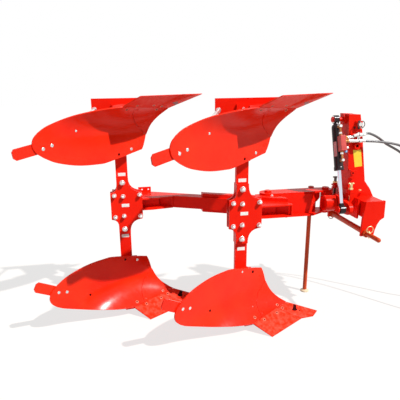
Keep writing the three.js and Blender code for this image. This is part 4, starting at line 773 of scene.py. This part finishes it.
# Landsides. Flat wear plates behind the boards, which slide along the furrow's wall, held to the
# frog with four countersunk bolts.
landside_head = fastener_tree("landside_head", [(0, 0), (0, 1), (0.5, 1), (0.88, 0.84), (1, 0)],
                              radius=0.0095, height=0.0016)
landside_face, landside_height = 50.2, -640
landside_bolts = (-120, -30, 60, 170)
for prefix, (place, _) in bodies.items():
    dressed(prefix + "_landside", red, bevel=0.0015)
    spots = [(place((x, landside_face, landside_height)), (0, 1, 0), 1) for x in landside_bolts]
    fasteners(prefix + "_landside_bolts", landside_head, spots, zinc, "beam")

# Tail pieces. Straight flat bars with rounded ends, bolted behind the mouldboards to turn the
# furrow right over.
for prefix in bodies:
    dressed(prefix + "_tail_piece", board_red, bevel=0.0012)

# Stay bolts. Long zinc plated bolts with a turned head, which brace each mouldboard's back against
# the landside.
stay_radius, stay_short = 11, 14
stay_head = [(2, 0), (2, 14.5), (12, 14.5), (13, 13.5), (13, stay_radius)]
stay_on_board, stay_depth = (395, 205), 10
stay_start = Vector((-138, 40.4, -618))
stay_line = (face_place(*stay_on_board) - face_normal(*stay_on_board) * stay_depth
             - stay_start)
stay_top = stay_line.length - stay_short
for prefix, (place, direction) in bodies.items():
    form = bmesh.new()
    turned(form, [*stay_head, (stay_top, stay_radius), (stay_top, 0)], place(stay_start),
           direction(stay_line), sides=24)
    piece(prefix + "_stay_bolt", form, zinc, "beam")


# Leg plates. Flame-cut plates 16 mm thick, one for each pair of legs, that clamp both legs to the
# bracket on the beam.
def quadratic(a, b, c, count=8):
    """Steps along a curve from a to c that leans towards b, without its start."""
    a, b, c = Vector(a), Vector(b), Vector(c)
    return [tuple(a * (1 - t) ** 2 + b * 2 * t * (1 - t) + c * t * t)
            for t in ((k + 1) / count for k in range(count))]


def slab(form, corners, push):
    """A flat piece: its outline's corners pushed along one way."""
    low = [form.verts.new(c) for c in corners]
    high = [form.verts.new(c + push) for c in corners]
    form.faces.new(low)
    form.faces.new(list(reversed(high)))
    for i in range(len(low)):
        j = (i + 1) % len(low)
        form.faces.new((low[i], high[i], high[j], low[j]))


leg_plate_outline = [
    (-38, 188), (-38, 138), *quadratic((-38, 138), (-38, 92), (-82, 89)),
    (-82, -89), *quadratic((-82, -89), (-38, -92), (-38, -138)), (-38, -188), (38, -188),
    (38, -172), *quadratic((38, -172), (41, -95), (118, -92)), (123, -76), (123, 76), (118, 92),
    *quadratic((118, 92), (41, 95), (38, 172)), (38, 188)]
leg_plate_thickness = 0.016
rows = {row: station(row, "lower")[0] for row in ("front", "rear")}
for row, place in rows.items():
    form = bmesh.new()
    slab(form, [place((x, 0, z)) for x, z in leg_plate_outline],
         Vector((0, leg_plate_thickness, 0)))
    piece(row + "_plate", form, red, "beam", (row + "_leg_plate",), smooth=30,
          bevel=0.0018, segments=3)

# Bolts of the leg plates. Zinc plated M20 and M16 bolts with domed caps on thick washers, eight to
# a plate.
plate_bolt = fastener_tree("plate_bolt", [(0.115, 0), (0.115, 1), (0.577, 1), (0.654, 0.94),
                                          (0.788, 0.8), (0.904, 0.56), (0.977, 0.28), (1, 0)],
                           radius=0.012, height=0.026, sides=36)
plate_washer = fastener_tree("plate_washer", [(-0.13, 0), (-0.13, 1), (0.84, 1), (1, 0.96), (1, 0)],
                             radius=0.0146, height=0.0038, sides=36)
cap_radius, washer_lip = 12, 2.6
plate_bolt_places = [(0, 156, 15), (-56, 72, 12), (0, 66, 12), (107, 72, 12)]
washer_radius = cap_radius + washer_lip
for row, place in rows.items():
    bolts = [(place((x, 0, z * sign)), radius) for x, z, radius in plate_bolt_places
             for sign in (1, -1)]
    caps = [(foot, (0, -1, 0), r / cap_radius) for foot, r in bolts]
    washers = [(foot, (0, -1, 0), (r + washer_lip) / washer_radius) for foot, r in bolts]
    fasteners(row + "_plate_bolts", plate_bolt, caps, zinc, "beam")
    fasteners(row + "_plate_washers", plate_washer, washers, zinc, "beam")

# Labels of the legs and leg plates. Small white stickers of plastic film, bare: one on the upper
# leg, one on the leg plate and one on the lower leg of each station.
label_thickness, label_width, label_height = 0.0006, 48, 21
leg_face = 16.2
low_labels = {"front": -236, "rear": -218}
for row, place in rows.items():
    form = bmesh.new()
    for x, y, z in ((-24, leg_face, 197), (-12, 0, -5), (-24, leg_face, low_labels[row])):
        right, high = x + label_width, z + label_height
        slab(form, [place(v) for v in ((x, y, z), (right, y, z), (right, y, high), (x, y, high))],
             Vector((0, -label_thickness, 0)))
    piece(row + "_blank_labels", form, white_label, "beam")

# Leg brackets. Wedge blocks with back plates and spacers, welded on the slanting beam so that the
# legs stand square to the travel.
for row in rows:
    dressed(row + "_leg_bracket", red, bevel=0.0015)

# Main beam. A square tube of 80 mm with rounded edges, sawn to length and welded to its head block
# and brackets.
dressed("main_beam", red, bevel=0.003, segments=3)

# Beam head. A machined block with the pivot's bore and doubler plates over the tube's end. A zinc
# plated hexagon bolt with its nut stands on top.
beam_bolt_sight = (272, 196.4)
beam_head = dressed("beam_head", red, bevel=0.002)
form = bmesh.new()
foot, out = seat((beam_head,), *beam_bolt_sight)
turned(form, [(-1, 0), (-1, 9), (6, 9), (7, 8), (7, 5), (12, 5), (12.6, 4.4), (12.6, 0)],
       at(*foot), out, sides=6)
piece("beam_bolt", form, zinc, "beam")

# Swing frame. Two flame-cut plates with a web between them, welded, which join the beam to the hub.
# A small gusset stiffens the corner by the hub.
dressed("swing_frame", red, bevel=0.0018)
gusset_y, gusset_thickness = 237, 0.01
gusset_outline = ((575, 62), (605, 62), (605, 14), (590, -6), (579, -14), (575, -14))
form = bmesh.new()
slab(form, [at(x, gusset_y, z) for x, z in gusset_outline], Vector((0, gusset_thickness, 0)))
piece("swing_frame_gusset", form, red, "turnover_frame", smooth=30, bevel=0.001)

# Pivot pins. Two turned steel pins with a head, dropped through the bores of the beam head, the
# swing frame and the hub, and painted over with them.
for end in ("rear", "front"):
    dressed(end + "_pivot_pin", red, bevel=0.001)

# Turnover shaft and crank. A machined shaft with its forged hub, and the crank plate welded on it,
# which takes the rod's pin and holds the stop arm.
dressed("turnover_shaft", red, bevel=0.0015)
dressed("crank", red, bevel=0.0018)

# Parking stand. A round bar in a welded sleeve of the swing frame, painted in a browner red, with a
# cream foot disc that is pressed and welded on.
rust_red = finish("brown_red_enamel", seen(214, 84, 34), seen(186, 58, 22), (0.3, 0.45),
                  relief=0.15, specular=0.25)
cream = finish("cream_enamel", seen(226, 210, 178), seen(206, 186, 152), (0.35, 0.5), relief=0.2,
               broad=25)
stand_radius, stand_top = 14, 782
stand_profile = [(14, 0), (14, stand_radius), (stand_top - 2, stand_radius),
                 (stand_top, stand_radius - 2), (stand_top, 0)]
stand_foot_profile = [(0, 0), (0, 29), (1, 30), (7, 30), (8.5, 29), (12, 18), (15.5, 14.8),
                      (15.5, 0)]
dressed("stand_sleeve", red, bevel=0.001)
form = bmesh.new()
turned(form, stand_profile, at(stand_x, stand_y, ground), (0, 0, 1), sides=40)
piece("stand_tube", form, rust_red, "stand", ("parking_stand",))
form = bmesh.new()
turned(form, stand_foot_profile, at(stand_x, stand_y, ground), (0, 0, 1), sides=40)
piece("stand_foot", form, cream, "stand")

# Cylinder rod. A ground and hard chromed bar, screwed into a forged rod end whose eye turns on the
# crank's pin.
chrome = finish("chrome", seen(232, 236, 246), seen(214, 220, 234), (0.06, 0.12), metal=1.0,
                relief=0.03, grain=500, stretch=(1, 1, 0.1))
black = finish("black_enamel", seen(30, 16, 20), seen(44, 24, 30), (0.2, 0.32), relief=0.1,
               specular=0.3)
up = Vector((0, math.sin(lean), math.cos(lean)))
outward = Vector((0, -math.cos(lean), math.sin(lean)))
forward = Vector((1, 0, 0))
pin_to_pin = math.hypot(crank_radius, pin_height)
rod_radius, rod_top = 12.4, -260
rod_low, collar_low, collar_edge, collar_top = (rise - pin_to_pin for rise in (20, 22, 38, 39))
eye_bore, eye_chamfer = 13.3, 1.5
rod_eye_radius, rod_eye_half = 27, 18
pin_place = at(*on_cylinder(0, 0, 0))


def eye_ring(form, z, radius, half):
    """The ring of an eye about a pin, with a small chamfer all round."""
    turned(form, [(-half, eye_bore), (-half, radius - eye_chamfer), (eye_chamfer - half, radius),
                  (half - eye_chamfer, radius), (half, radius - eye_chamfer), (half, eye_bore),
                  (-half, eye_bore)], at(*on_cylinder(0, 0, z)), forward, sides=44)


form = bmesh.new()
turned(form, [(rod_low, 0), (rod_low, rod_radius), (rod_top, rod_radius), (rod_top, 0)],
       pin_place, up, sides=44)
piece("rod_bar", form, chrome, "rod", ("cylinder_rod",))
form = bmesh.new()
eye_ring(form, -pin_to_pin, rod_eye_radius, rod_eye_half)
turned(form, [(collar_low, 0), (collar_low, 16.5), (collar_edge, 16.5), (collar_top, 15.5),
              (collar_top, 0)], pin_place, up, sides=32)
piece("rod_eye", form, black, "rod")

# Cylinder barrel. A honed tube with a screwed gland at its foot and a welded end with the upper
# eye, enamelled black. The eye's faces are bare bright rings.
barrel_profile = [(-318, 13), (-318, 29), (-316, 30.6), (-297.5, 30.6), (-296, 29.6), (-296, 28.2),
                  (-295, 28), (-54, 28), (-44, 27), (-36, 24), (-32, 17), (-24, 15), (-20, 14),
                  (-20, 0)]
upper_eye_radius, upper_eye_half, eye_face_proud = 26, 17, 0.2
form = bmesh.new()
turned(form, barrel_profile, pin_place, up, sides=56)
eye_ring(form, 0, upper_eye_radius, upper_eye_half)
piece("barrel_tube", form, black, "barrel", ("cylinder_barrel",))
form = bmesh.new()
for x in (-upper_eye_half - eye_face_proud, upper_eye_half + eye_face_proud):
    turned(form, [(-0.3, 14.5), (-0.3, 23.5), (0.3, 23.5), (0.3, 14.5), (-0.3, 14.5)],
           at(*on_cylinder(x, 0, 0)), forward, sides=44)
piece("eye_faces", form, zinc, "barrel")

# Upper pin. A turned steel bolt with a round head, which hangs the barrel on the mast's boss and is
# painted red with it.
upper_pin_head_x = 606
upper_pin_profile = [(0, 0), (0, 15.5), (1.4, 17), (5, 17), (6, 16), (6, 13), (70, 13), (70, 0)]
form = bmesh.new()
turned(form, upper_pin_profile, at(upper_pin_head_x, axis_y, pin_height), forward, sides=44)
piece("upper_pin_bolt", form, red, "barrel", ("upper_pin",))

# Label of the barrel. A pale sticker of plastic film, pressed on the tube's near side and bare. It
# follows the tube's curve.
pink_label = finish("pale_label", seen(232, 168, 170), seen(212, 142, 146), (0.4, 0.5), relief=0.05,
                    broad=60)
sticker_radius, sticker_thickness = 28.2, 0.0004
sticker_ends = (-232, -142)
sticker_angles = [-1.35 + k * 0.09 for k in range(9)]
form = bmesh.new()
inner = [[at(*on_cylinder(sticker_radius * math.sin(a), -sticker_radius * math.cos(a), z))
          for a in sticker_angles] for z in sticker_ends]
outer = [[v + (v - at(*on_cylinder(0, 0, z))).normalized() * sticker_thickness for v in row]
         for row, z in zip(inner, sticker_ends)]
curved(form, inner, outer)
piece("barrel_blank_label", form, pink_label, "barrel")

# Valve block. A machined block of steel on the barrel's side with a lower boss for the small cap,
# enamelled in a paler red.
block_red = finish("pale_red_enamel", seen(206, 78, 72), seen(182, 58, 54), (0.3, 0.42), relief=0.2,
                   broad=20)
valve_boxes = ((-12, 22, -72.3, -27, -206, -112), (8, 30, -64, -40, -203, -176))
form = bmesh.new()
for x0, x1, y0, y1, z0, z1 in valve_boxes:
    slab(form, [at(*on_cylinder(x, y, z0)) for x, y in ((x0, y0), (x1, y0), (x1, y1), (x0, y1))],
         up * (z1 - z0) / 1000)
piece("valve_body", form, block_red, "barrel", ("valve_block",), smooth=30,
      bevel=0.0022, segments=3)

# Pipes and fittings of the valve block. Turned brass: a short pipe and an elbow to each end of the
# barrel, and two screwed outlets for the hoses.
brass = finish("brass", seen(196, 138, 84), seen(150, 98, 60), (0.25, 0.4), metal=0.8, relief=0.2,
               grain=900, broad=30)
pipe_x, pipe_y, elbow_y, outlet_x = 1, -51, -30, 22
pipes = ((-54, -112, 1), (-262, -204, -1))
form = bmesh.new()
for port, start, sign in pipes:
    run = abs(port - start)
    turned(form, [(0, 0), (0, 9), (9, 9), (10, 7), (10, 6), (run - 8, 6), (run - 8, 8.5),
                  (run + 6, 8.5), (run + 7, 7.5), (run + 7, 0)],
           at(*on_cylinder(pipe_x, pipe_y, start)), up * sign, sides=28)
    turned(form, [(0, 0), (0, 10), (8, 10), (9, 8.4), (24, 8.4), (25, 7), (25, 0)],
           at(*on_cylinder(pipe_x, elbow_y, port)), outward, sides=28)
for across, port, _, _ in hose_facts.values():
    turned(form, [(0, 0), (0, 10), (7, 10), (8, 8), (12, 8), (12, 10), (24, 10), (24, 0)],
           at(*on_cylinder(outlet_x, port_y - port_spread * across, port)), forward, sides=6)
piece("valve_fittings", form, brass, "barrel")

# Nuts of the pipes and the blanking screw of the valve block. Hexagons of zinc plated steel, which
# are tightened on the pipes' ends and into the block's lower boss.
screw_place = (29, -52, -187)
form = bmesh.new()
for port, start, sign in pipes:
    turned(form, [(25, 0), (25, 9.5), (33, 9.5), (34, 8.5), (34, 0)],
           at(*on_cylinder(pipe_x, elbow_y, port)), outward, sides=6)
    turned(form, [(11, 6), (11, 10), (21, 10), (22, 9), (22, 6)],
           at(*on_cylinder(pipe_x, pipe_y, start)), up * sign, sides=6)
turned(form, [(0, 0), (0, 8), (14, 8), (15, 7), (15, 0)], at(*on_cylinder(*screw_place)),
       forward, sides=6)
piece("valve_nuts", form, zinc, "barrel")

# Cap of the spare port. Moulded in pale blue plastic and pushed on its stub under the valve
# block's lower boss.
cap_place = (24, -56, -203)
blue_cap = finish("blue_cap", seen(150, 190, 232), seen(120, 166, 216), (0.35, 0.45), relief=0.1,
                  broad=60)
form = bmesh.new()
turned(form, [(0, 0), (0, 7), (1, 8), (13, 8), (15, 6), (15, 0)], at(*on_cylinder(*cap_place)),
       -up, sides=28)
piece("valve_cap", form, blue_cap, "barrel")

# Headstock. The mast of 10 mm plate, the box beam across it with the lower link brackets, and the
# turnover shaft's bearing housing, all welded and enamelled. The hitch shaft is pushed through.
mast = dressed("mast", red, bevel=0.0018)
dressed("cross_member", red, bevel=0.002)
dressed("bearing_housing", red, bevel=0.001)
dressed("hitch_shaft", rust_red, bevel=0.001)

# Top link pin and hose clip. A turned pin that slides through the mast's plates, and a bent clip
# that is screwed to the near plate, both zinc plated.
dressed("top_link_pin", zinc, bevel=0.001)
dressed("hose_clip", zinc, bevel=0.001)

# Stop screws. T-handled screws in the mast's brackets, with a lock nut on each and a smaller nut in
# front, that set the plough upright. The near one is yellow. The far one is the same screw, drawn
# in dark steel as painted shade.
yellow_zinc = finish("yellow_zinc", seen(238, 214, 158), seen(206, 180, 134), (0.28, 0.42),
                     metal=0.8, relief=0.2, grain=900, broad=30)
# Dark steel for the top and far linch pins. It is also the painted shade on the far stop screw,
# which is yellow zinc like the near one.
steel_and_painted_shade = finish("dark_steel_with_painted_shade", seen(112, 106, 104), seen(78, 72, 72), (0.25, 0.4), metal=0.7,
               relief=0.2, grain=900, broad=60)
screw_x, screw_nut_z = 716, 108.2
front_nut_x, front_nut_z = 778, 98.1
screw_offset = 107
dressed("near_stop_screw", yellow_zinc, bevel=0.001)
dressed("far_stop_screw", steel_and_painted_shade, bevel=0.001)
form = bmesh.new()
for y in (axis_y - screw_offset, axis_y + screw_offset):
    turned(form, [(0, 9.3), (0, 15), (1, 16), (9, 16), (10, 15), (10, 9.3), (0, 9.3)],
           at(screw_x, y, screw_nut_z), (0, 0, 1), sides=6)
    turned(form, [(0, 0), (0, 9), (7, 9), (8, 8), (8, 0)], at(front_nut_x, y, front_nut_z),
           (0, 0, 1), sides=6)
piece("stop_screw_nuts", form, yellow_zinc, "headstock")

# Label of the mast. A yellow sticker of plastic film, pressed on the mast's near plate under the
# cross tube and left bare.
yellow_label = finish("yellow_label", seen(250, 218, 66), seen(242, 204, 48), (0.35, 0.45),
                      relief=0.05, broad=30)
mast_label_outline = ((734, 349), (756, 240), (806, 245), (787, 350))
near_plate_y, mast_label_thickness = 88.9, 0.0007
form = bmesh.new()
slab(form, [at(x, near_plate_y, z) for x, z in mast_label_outline],
     Vector((0, -mast_label_thickness, 0)))
piece("blank_mast_label", form, yellow_label, "headstock")

# Collars of the lower link pins. Turned rings welded on the brackets, in which the hitch shaft
# ends, left in its browner red.
hitch_x, hitch_z = 774, -144
collar_profile = [(0, 14.3), (0, 24.6), (1, 25.8), (11.6, 25.8), (12.6, 24.6), (12.6, 14.3),
                  (0, 14.3)]
form = bmesh.new()
for bracket_y, sign in ((-86.2, -1), (378.2, 1)):
    turned(form, collar_profile, at(hitch_x, bracket_y, hitch_z), (0, sign, 0), sides=44)
piece("lower_pin_collars", form, rust_red, "headstock")

# Linch pins. A short cross pin through the end of each hitch pin, with a sprung wire ring that
# folds over it. The one at the near lower pin is yellow, the others dark.
wire_radius, ring_steps, wire_sides = 2.6, 40, 10
head_middle, ring_forward = 20, 0.012
cross_pin_profile = [(-24, 0), (-24, 3.4), (-22, 4.4), (16, 4.4), (16, 7), (24, 7), (25, 6),
                     (25, 0)]


def linch_pin(name, place, along, ring_radius, drop, metal):
    form = bmesh.new()
    centre = at(*place)
    along = Vector(along).normalized()
    turned(form, cross_pin_profile, centre, along, sides=20)
    across = along.cross(Vector((0, 1, 0))).normalized()
    ring_centre = centre + along * (head_middle - drop) / 1000 - Vector((0, ring_forward, 0))
    loop = []
    for i in range(ring_steps):
        a = 2 * math.pi * i / ring_steps
        out = along * math.cos(a) + across * math.sin(a)
        loop.append([])
        for k in range(wire_sides):
            b = 2 * math.pi * k / wire_sides
            reach = out * (ring_radius + wire_radius * math.cos(b)) / 1000
            loop[i].append(form.verts.new(ring_centre + reach
                                          + Vector((0, wire_radius * math.sin(b) / 1000, 0))))
    for i in range(ring_steps):
        for k in range(wire_sides):
            j, m = (i + 1) % ring_steps, (k + 1) % wire_sides
            form.faces.new((loop[i][k], loop[j][k], loop[j][m], loop[i][m]))
    piece(name, form, metal, "headstock")


near_linch_y, far_linch_y = axis_y - 266, axis_y + 268
linch_pin("top_linch_pin", (757, 70, 508), (-0.5, 0, 0.85), ring_radius=22, drop=20,
          metal=steel_and_painted_shade)
linch_pin("near_linch_pin", (hitch_x, near_linch_y, hitch_z), (-0.1, 0, 1), ring_radius=21,
          drop=-16, metal=yellow_zinc)
linch_pin("far_linch_pin", (hitch_x, far_linch_y, hitch_z), (0.3, 0, -0.95), ring_radius=20,
          drop=-10, metal=steel_and_painted_shade)

# Bolts of the mast's doubler. Two small black hexagon bolts, screwed into the near plate beside the
# top link pin.
doubler_bolt_sights = ((354.9, 127.6), (358.7, 128.0))
form = bmesh.new()
for u, v in doubler_bolt_sights:
    foot, out = seat((mast,), u, v)
    turned(form, [(-1, 0), (-1, 7.5), (6, 7.5), (7, 6.5), (7, 0)], at(*foot), out, sides=6)
piece("mast_bolts", form, black, "headstock")

# Small parts welded on the mast: the end ring of the tube between its plates, the web under the
# near stop screw's flange, and a lug with its pin. All are cut from plate and bar.
tube_sight, lug_sight = (356.8, 146), (351.5, 173)
tube_foot, tube_out = seat((mast,), *tube_sight)
lug_place = at(*seat((mast,), *lug_sight)[0])
lug_pin, lug_pin_end = Vector((-0.008, -0.024, 0.006)), Vector((-0.008, -0.033, 0.006))
lug_thickness, lug_sunk, web_thickness = 0.026, 0.001, 0.007
lug_outline = ((-0.022, 0.026), (0.024, 0.02), (0.026, -0.014), (0.0, -0.032), (-0.022, -0.028))
web_y, web_outline = 17.4, ((701, 88.5), (759, 88.5), (718, -24), (711, -24))
form = bmesh.new()
turned(form, [(-1, 9), (-1, 20), (8, 20), (9, 19), (9, 9), (-1, 9)], at(*tube_foot), tube_out,
       sides=36)
slab(form, [at(x, web_y, z) for x, z in web_outline], Vector((0, web_thickness, 0)))
slab(form, [lug_place + Vector((x, lug_sunk, z)) for x, z in lug_outline],
     Vector((0, -lug_thickness, 0)))
turned(form, [(0, 0), (0, 13), (8, 13), (9, 12), (9, 0)], lug_place + lug_pin, (0, -1, 0), sides=28)
piece("mast_lug", form, red, "headstock", smooth=30, bevel=0.0016)

# Holes of the mast: the bore of the tube's end ring and the centre of the lug's pin, drilled, and
# drawn as discs of painted shade.
form = bmesh.new()
turned(form, [(0, 0), (0, 9.2), (3, 9.2), (3, 0)], at(*tube_foot), tube_out, sides=24)
turned(form, [(0, 0), (0, 5), (0.6, 5), (0.6, 0)], lug_place + lug_pin_end, (0, -1, 0), sides=20)
piece("mast_holes", form, shade, "headstock")

# Floor. A wide sheet of pale studio paper, which takes the plough's shadow and is white to the
# camera and in what mirrors it.
floor_half, floor_drop = 30, -0.0004
paper_colour = (0.25, 0.23, 0.21, 1)
# The paper also glows faintly to every ray. This glow lights the plough from below in place of
# light bounced off a sunlit floor, and it is stronger to the camera and in mirrors.
paper_glow, paper_glow_seen = 0.29, 0.43
form = bmesh.new()
corners = ((-floor_half, -floor_half), (floor_half, -floor_half), (floor_half, floor_half),
           (-floor_half, floor_half))
form.faces.new([form.verts.new((x, y, floor_drop)) for x, y in corners])
mesh = bpy.data.meshes.new("floor")
form.to_mesh(mesh)
form.free()
floor_paper = bpy.data.materials.new("floor_paper")
floor_paper.use_nodes = True
tree = floor_paper.node_tree
tree.nodes.clear()
paper = tree.nodes.new("ShaderNodeBsdfDiffuse")
paper.inputs["Color"].default_value = paper_colour
glow = tree.nodes.new("ShaderNodeEmission")
path = tree.nodes.new("ShaderNodeLightPath")
either = tree.nodes.new("ShaderNodeMath")
either.operation = "MAXIMUM"
tree.links.new(path.outputs["Is Camera Ray"], either.inputs[0])
tree.links.new(path.outputs["Is Glossy Ray"], either.inputs[1])
strength = tree.nodes.new("ShaderNodeMath")
strength.operation = "MULTIPLY_ADD"
strength.inputs[1].default_value = paper_glow_seen
strength.inputs[2].default_value = paper_glow
tree.links.new(either.outputs[0], strength.inputs[0])
tree.links.new(strength.outputs[0], glow.inputs["Strength"])
both = tree.nodes.new("ShaderNodeAddShader")
tree.links.new(paper.outputs[0], both.inputs[0])
tree.links.new(glow.outputs[0], both.inputs[1])
tree.links.new(both.outputs[0], tree.nodes.new("ShaderNodeOutputMaterial").inputs["Surface"])
mesh.materials.append(floor_paper)
floor = bpy.data.objects.new("floor", mesh)
bpy.context.scene.collection.objects.link(floor)

# Studio. Soft, slightly cool light from all round, which is white to the camera, in mirrors and
# through glass.
sky_colour, sky_strength = (0.96, 0.98, 1, 1), 0.28
studio = bpy.data.worlds.new("studio")
bpy.context.scene.world = studio
studio.use_nodes = True
tree = studio.node_tree
tree.nodes.clear()
path = tree.nodes.new("ShaderNodeLightPath")
shown = path.outputs["Is Camera Ray"]
for ray in ("Is Glossy Ray", "Is Transmission Ray"):
    either = tree.nodes.new("ShaderNodeMath")
    either.operation = "MAXIMUM"
    tree.links.new(shown, either.inputs[0])
    tree.links.new(path.outputs[ray], either.inputs[1])
    shown = either.outputs[0]
mix = tree.nodes.new("ShaderNodeMixShader")
tree.links.new(shown, mix.inputs["Fac"])
for i, (colour, strength) in enumerate(((sky_colour, sky_strength), ((1, 1, 1, 1), 1.0))):
    light = tree.nodes.new("ShaderNodeBackground")
    light.inputs["Color"].default_value = colour
    light.inputs["Strength"].default_value = strength
    tree.links.new(light.outputs[0], mix.inputs[i + 1])
tree.links.new(mix.outputs[0], tree.nodes.new("ShaderNodeOutputWorld").inputs["Surface"])

# Key light. A sun from high on the camera's right, small enough for sharp shadows.
sun_travel, sun_energy, sun_angle = (-0.482, 0.449, -0.752), 4.6, 1.2
sun = bpy.data.lights.new("key", "SUN")
sun.energy = sun_energy
sun.angle = math.radians(sun_angle)
key = bpy.data.objects.new("key", sun)
key.rotation_euler = Vector(sun_travel).to_track_quat("-Z", "Y").to_euler()
bpy.context.scene.collection.objects.link(key)

bpy.context.scene.view_settings.view_transform = "Standard"
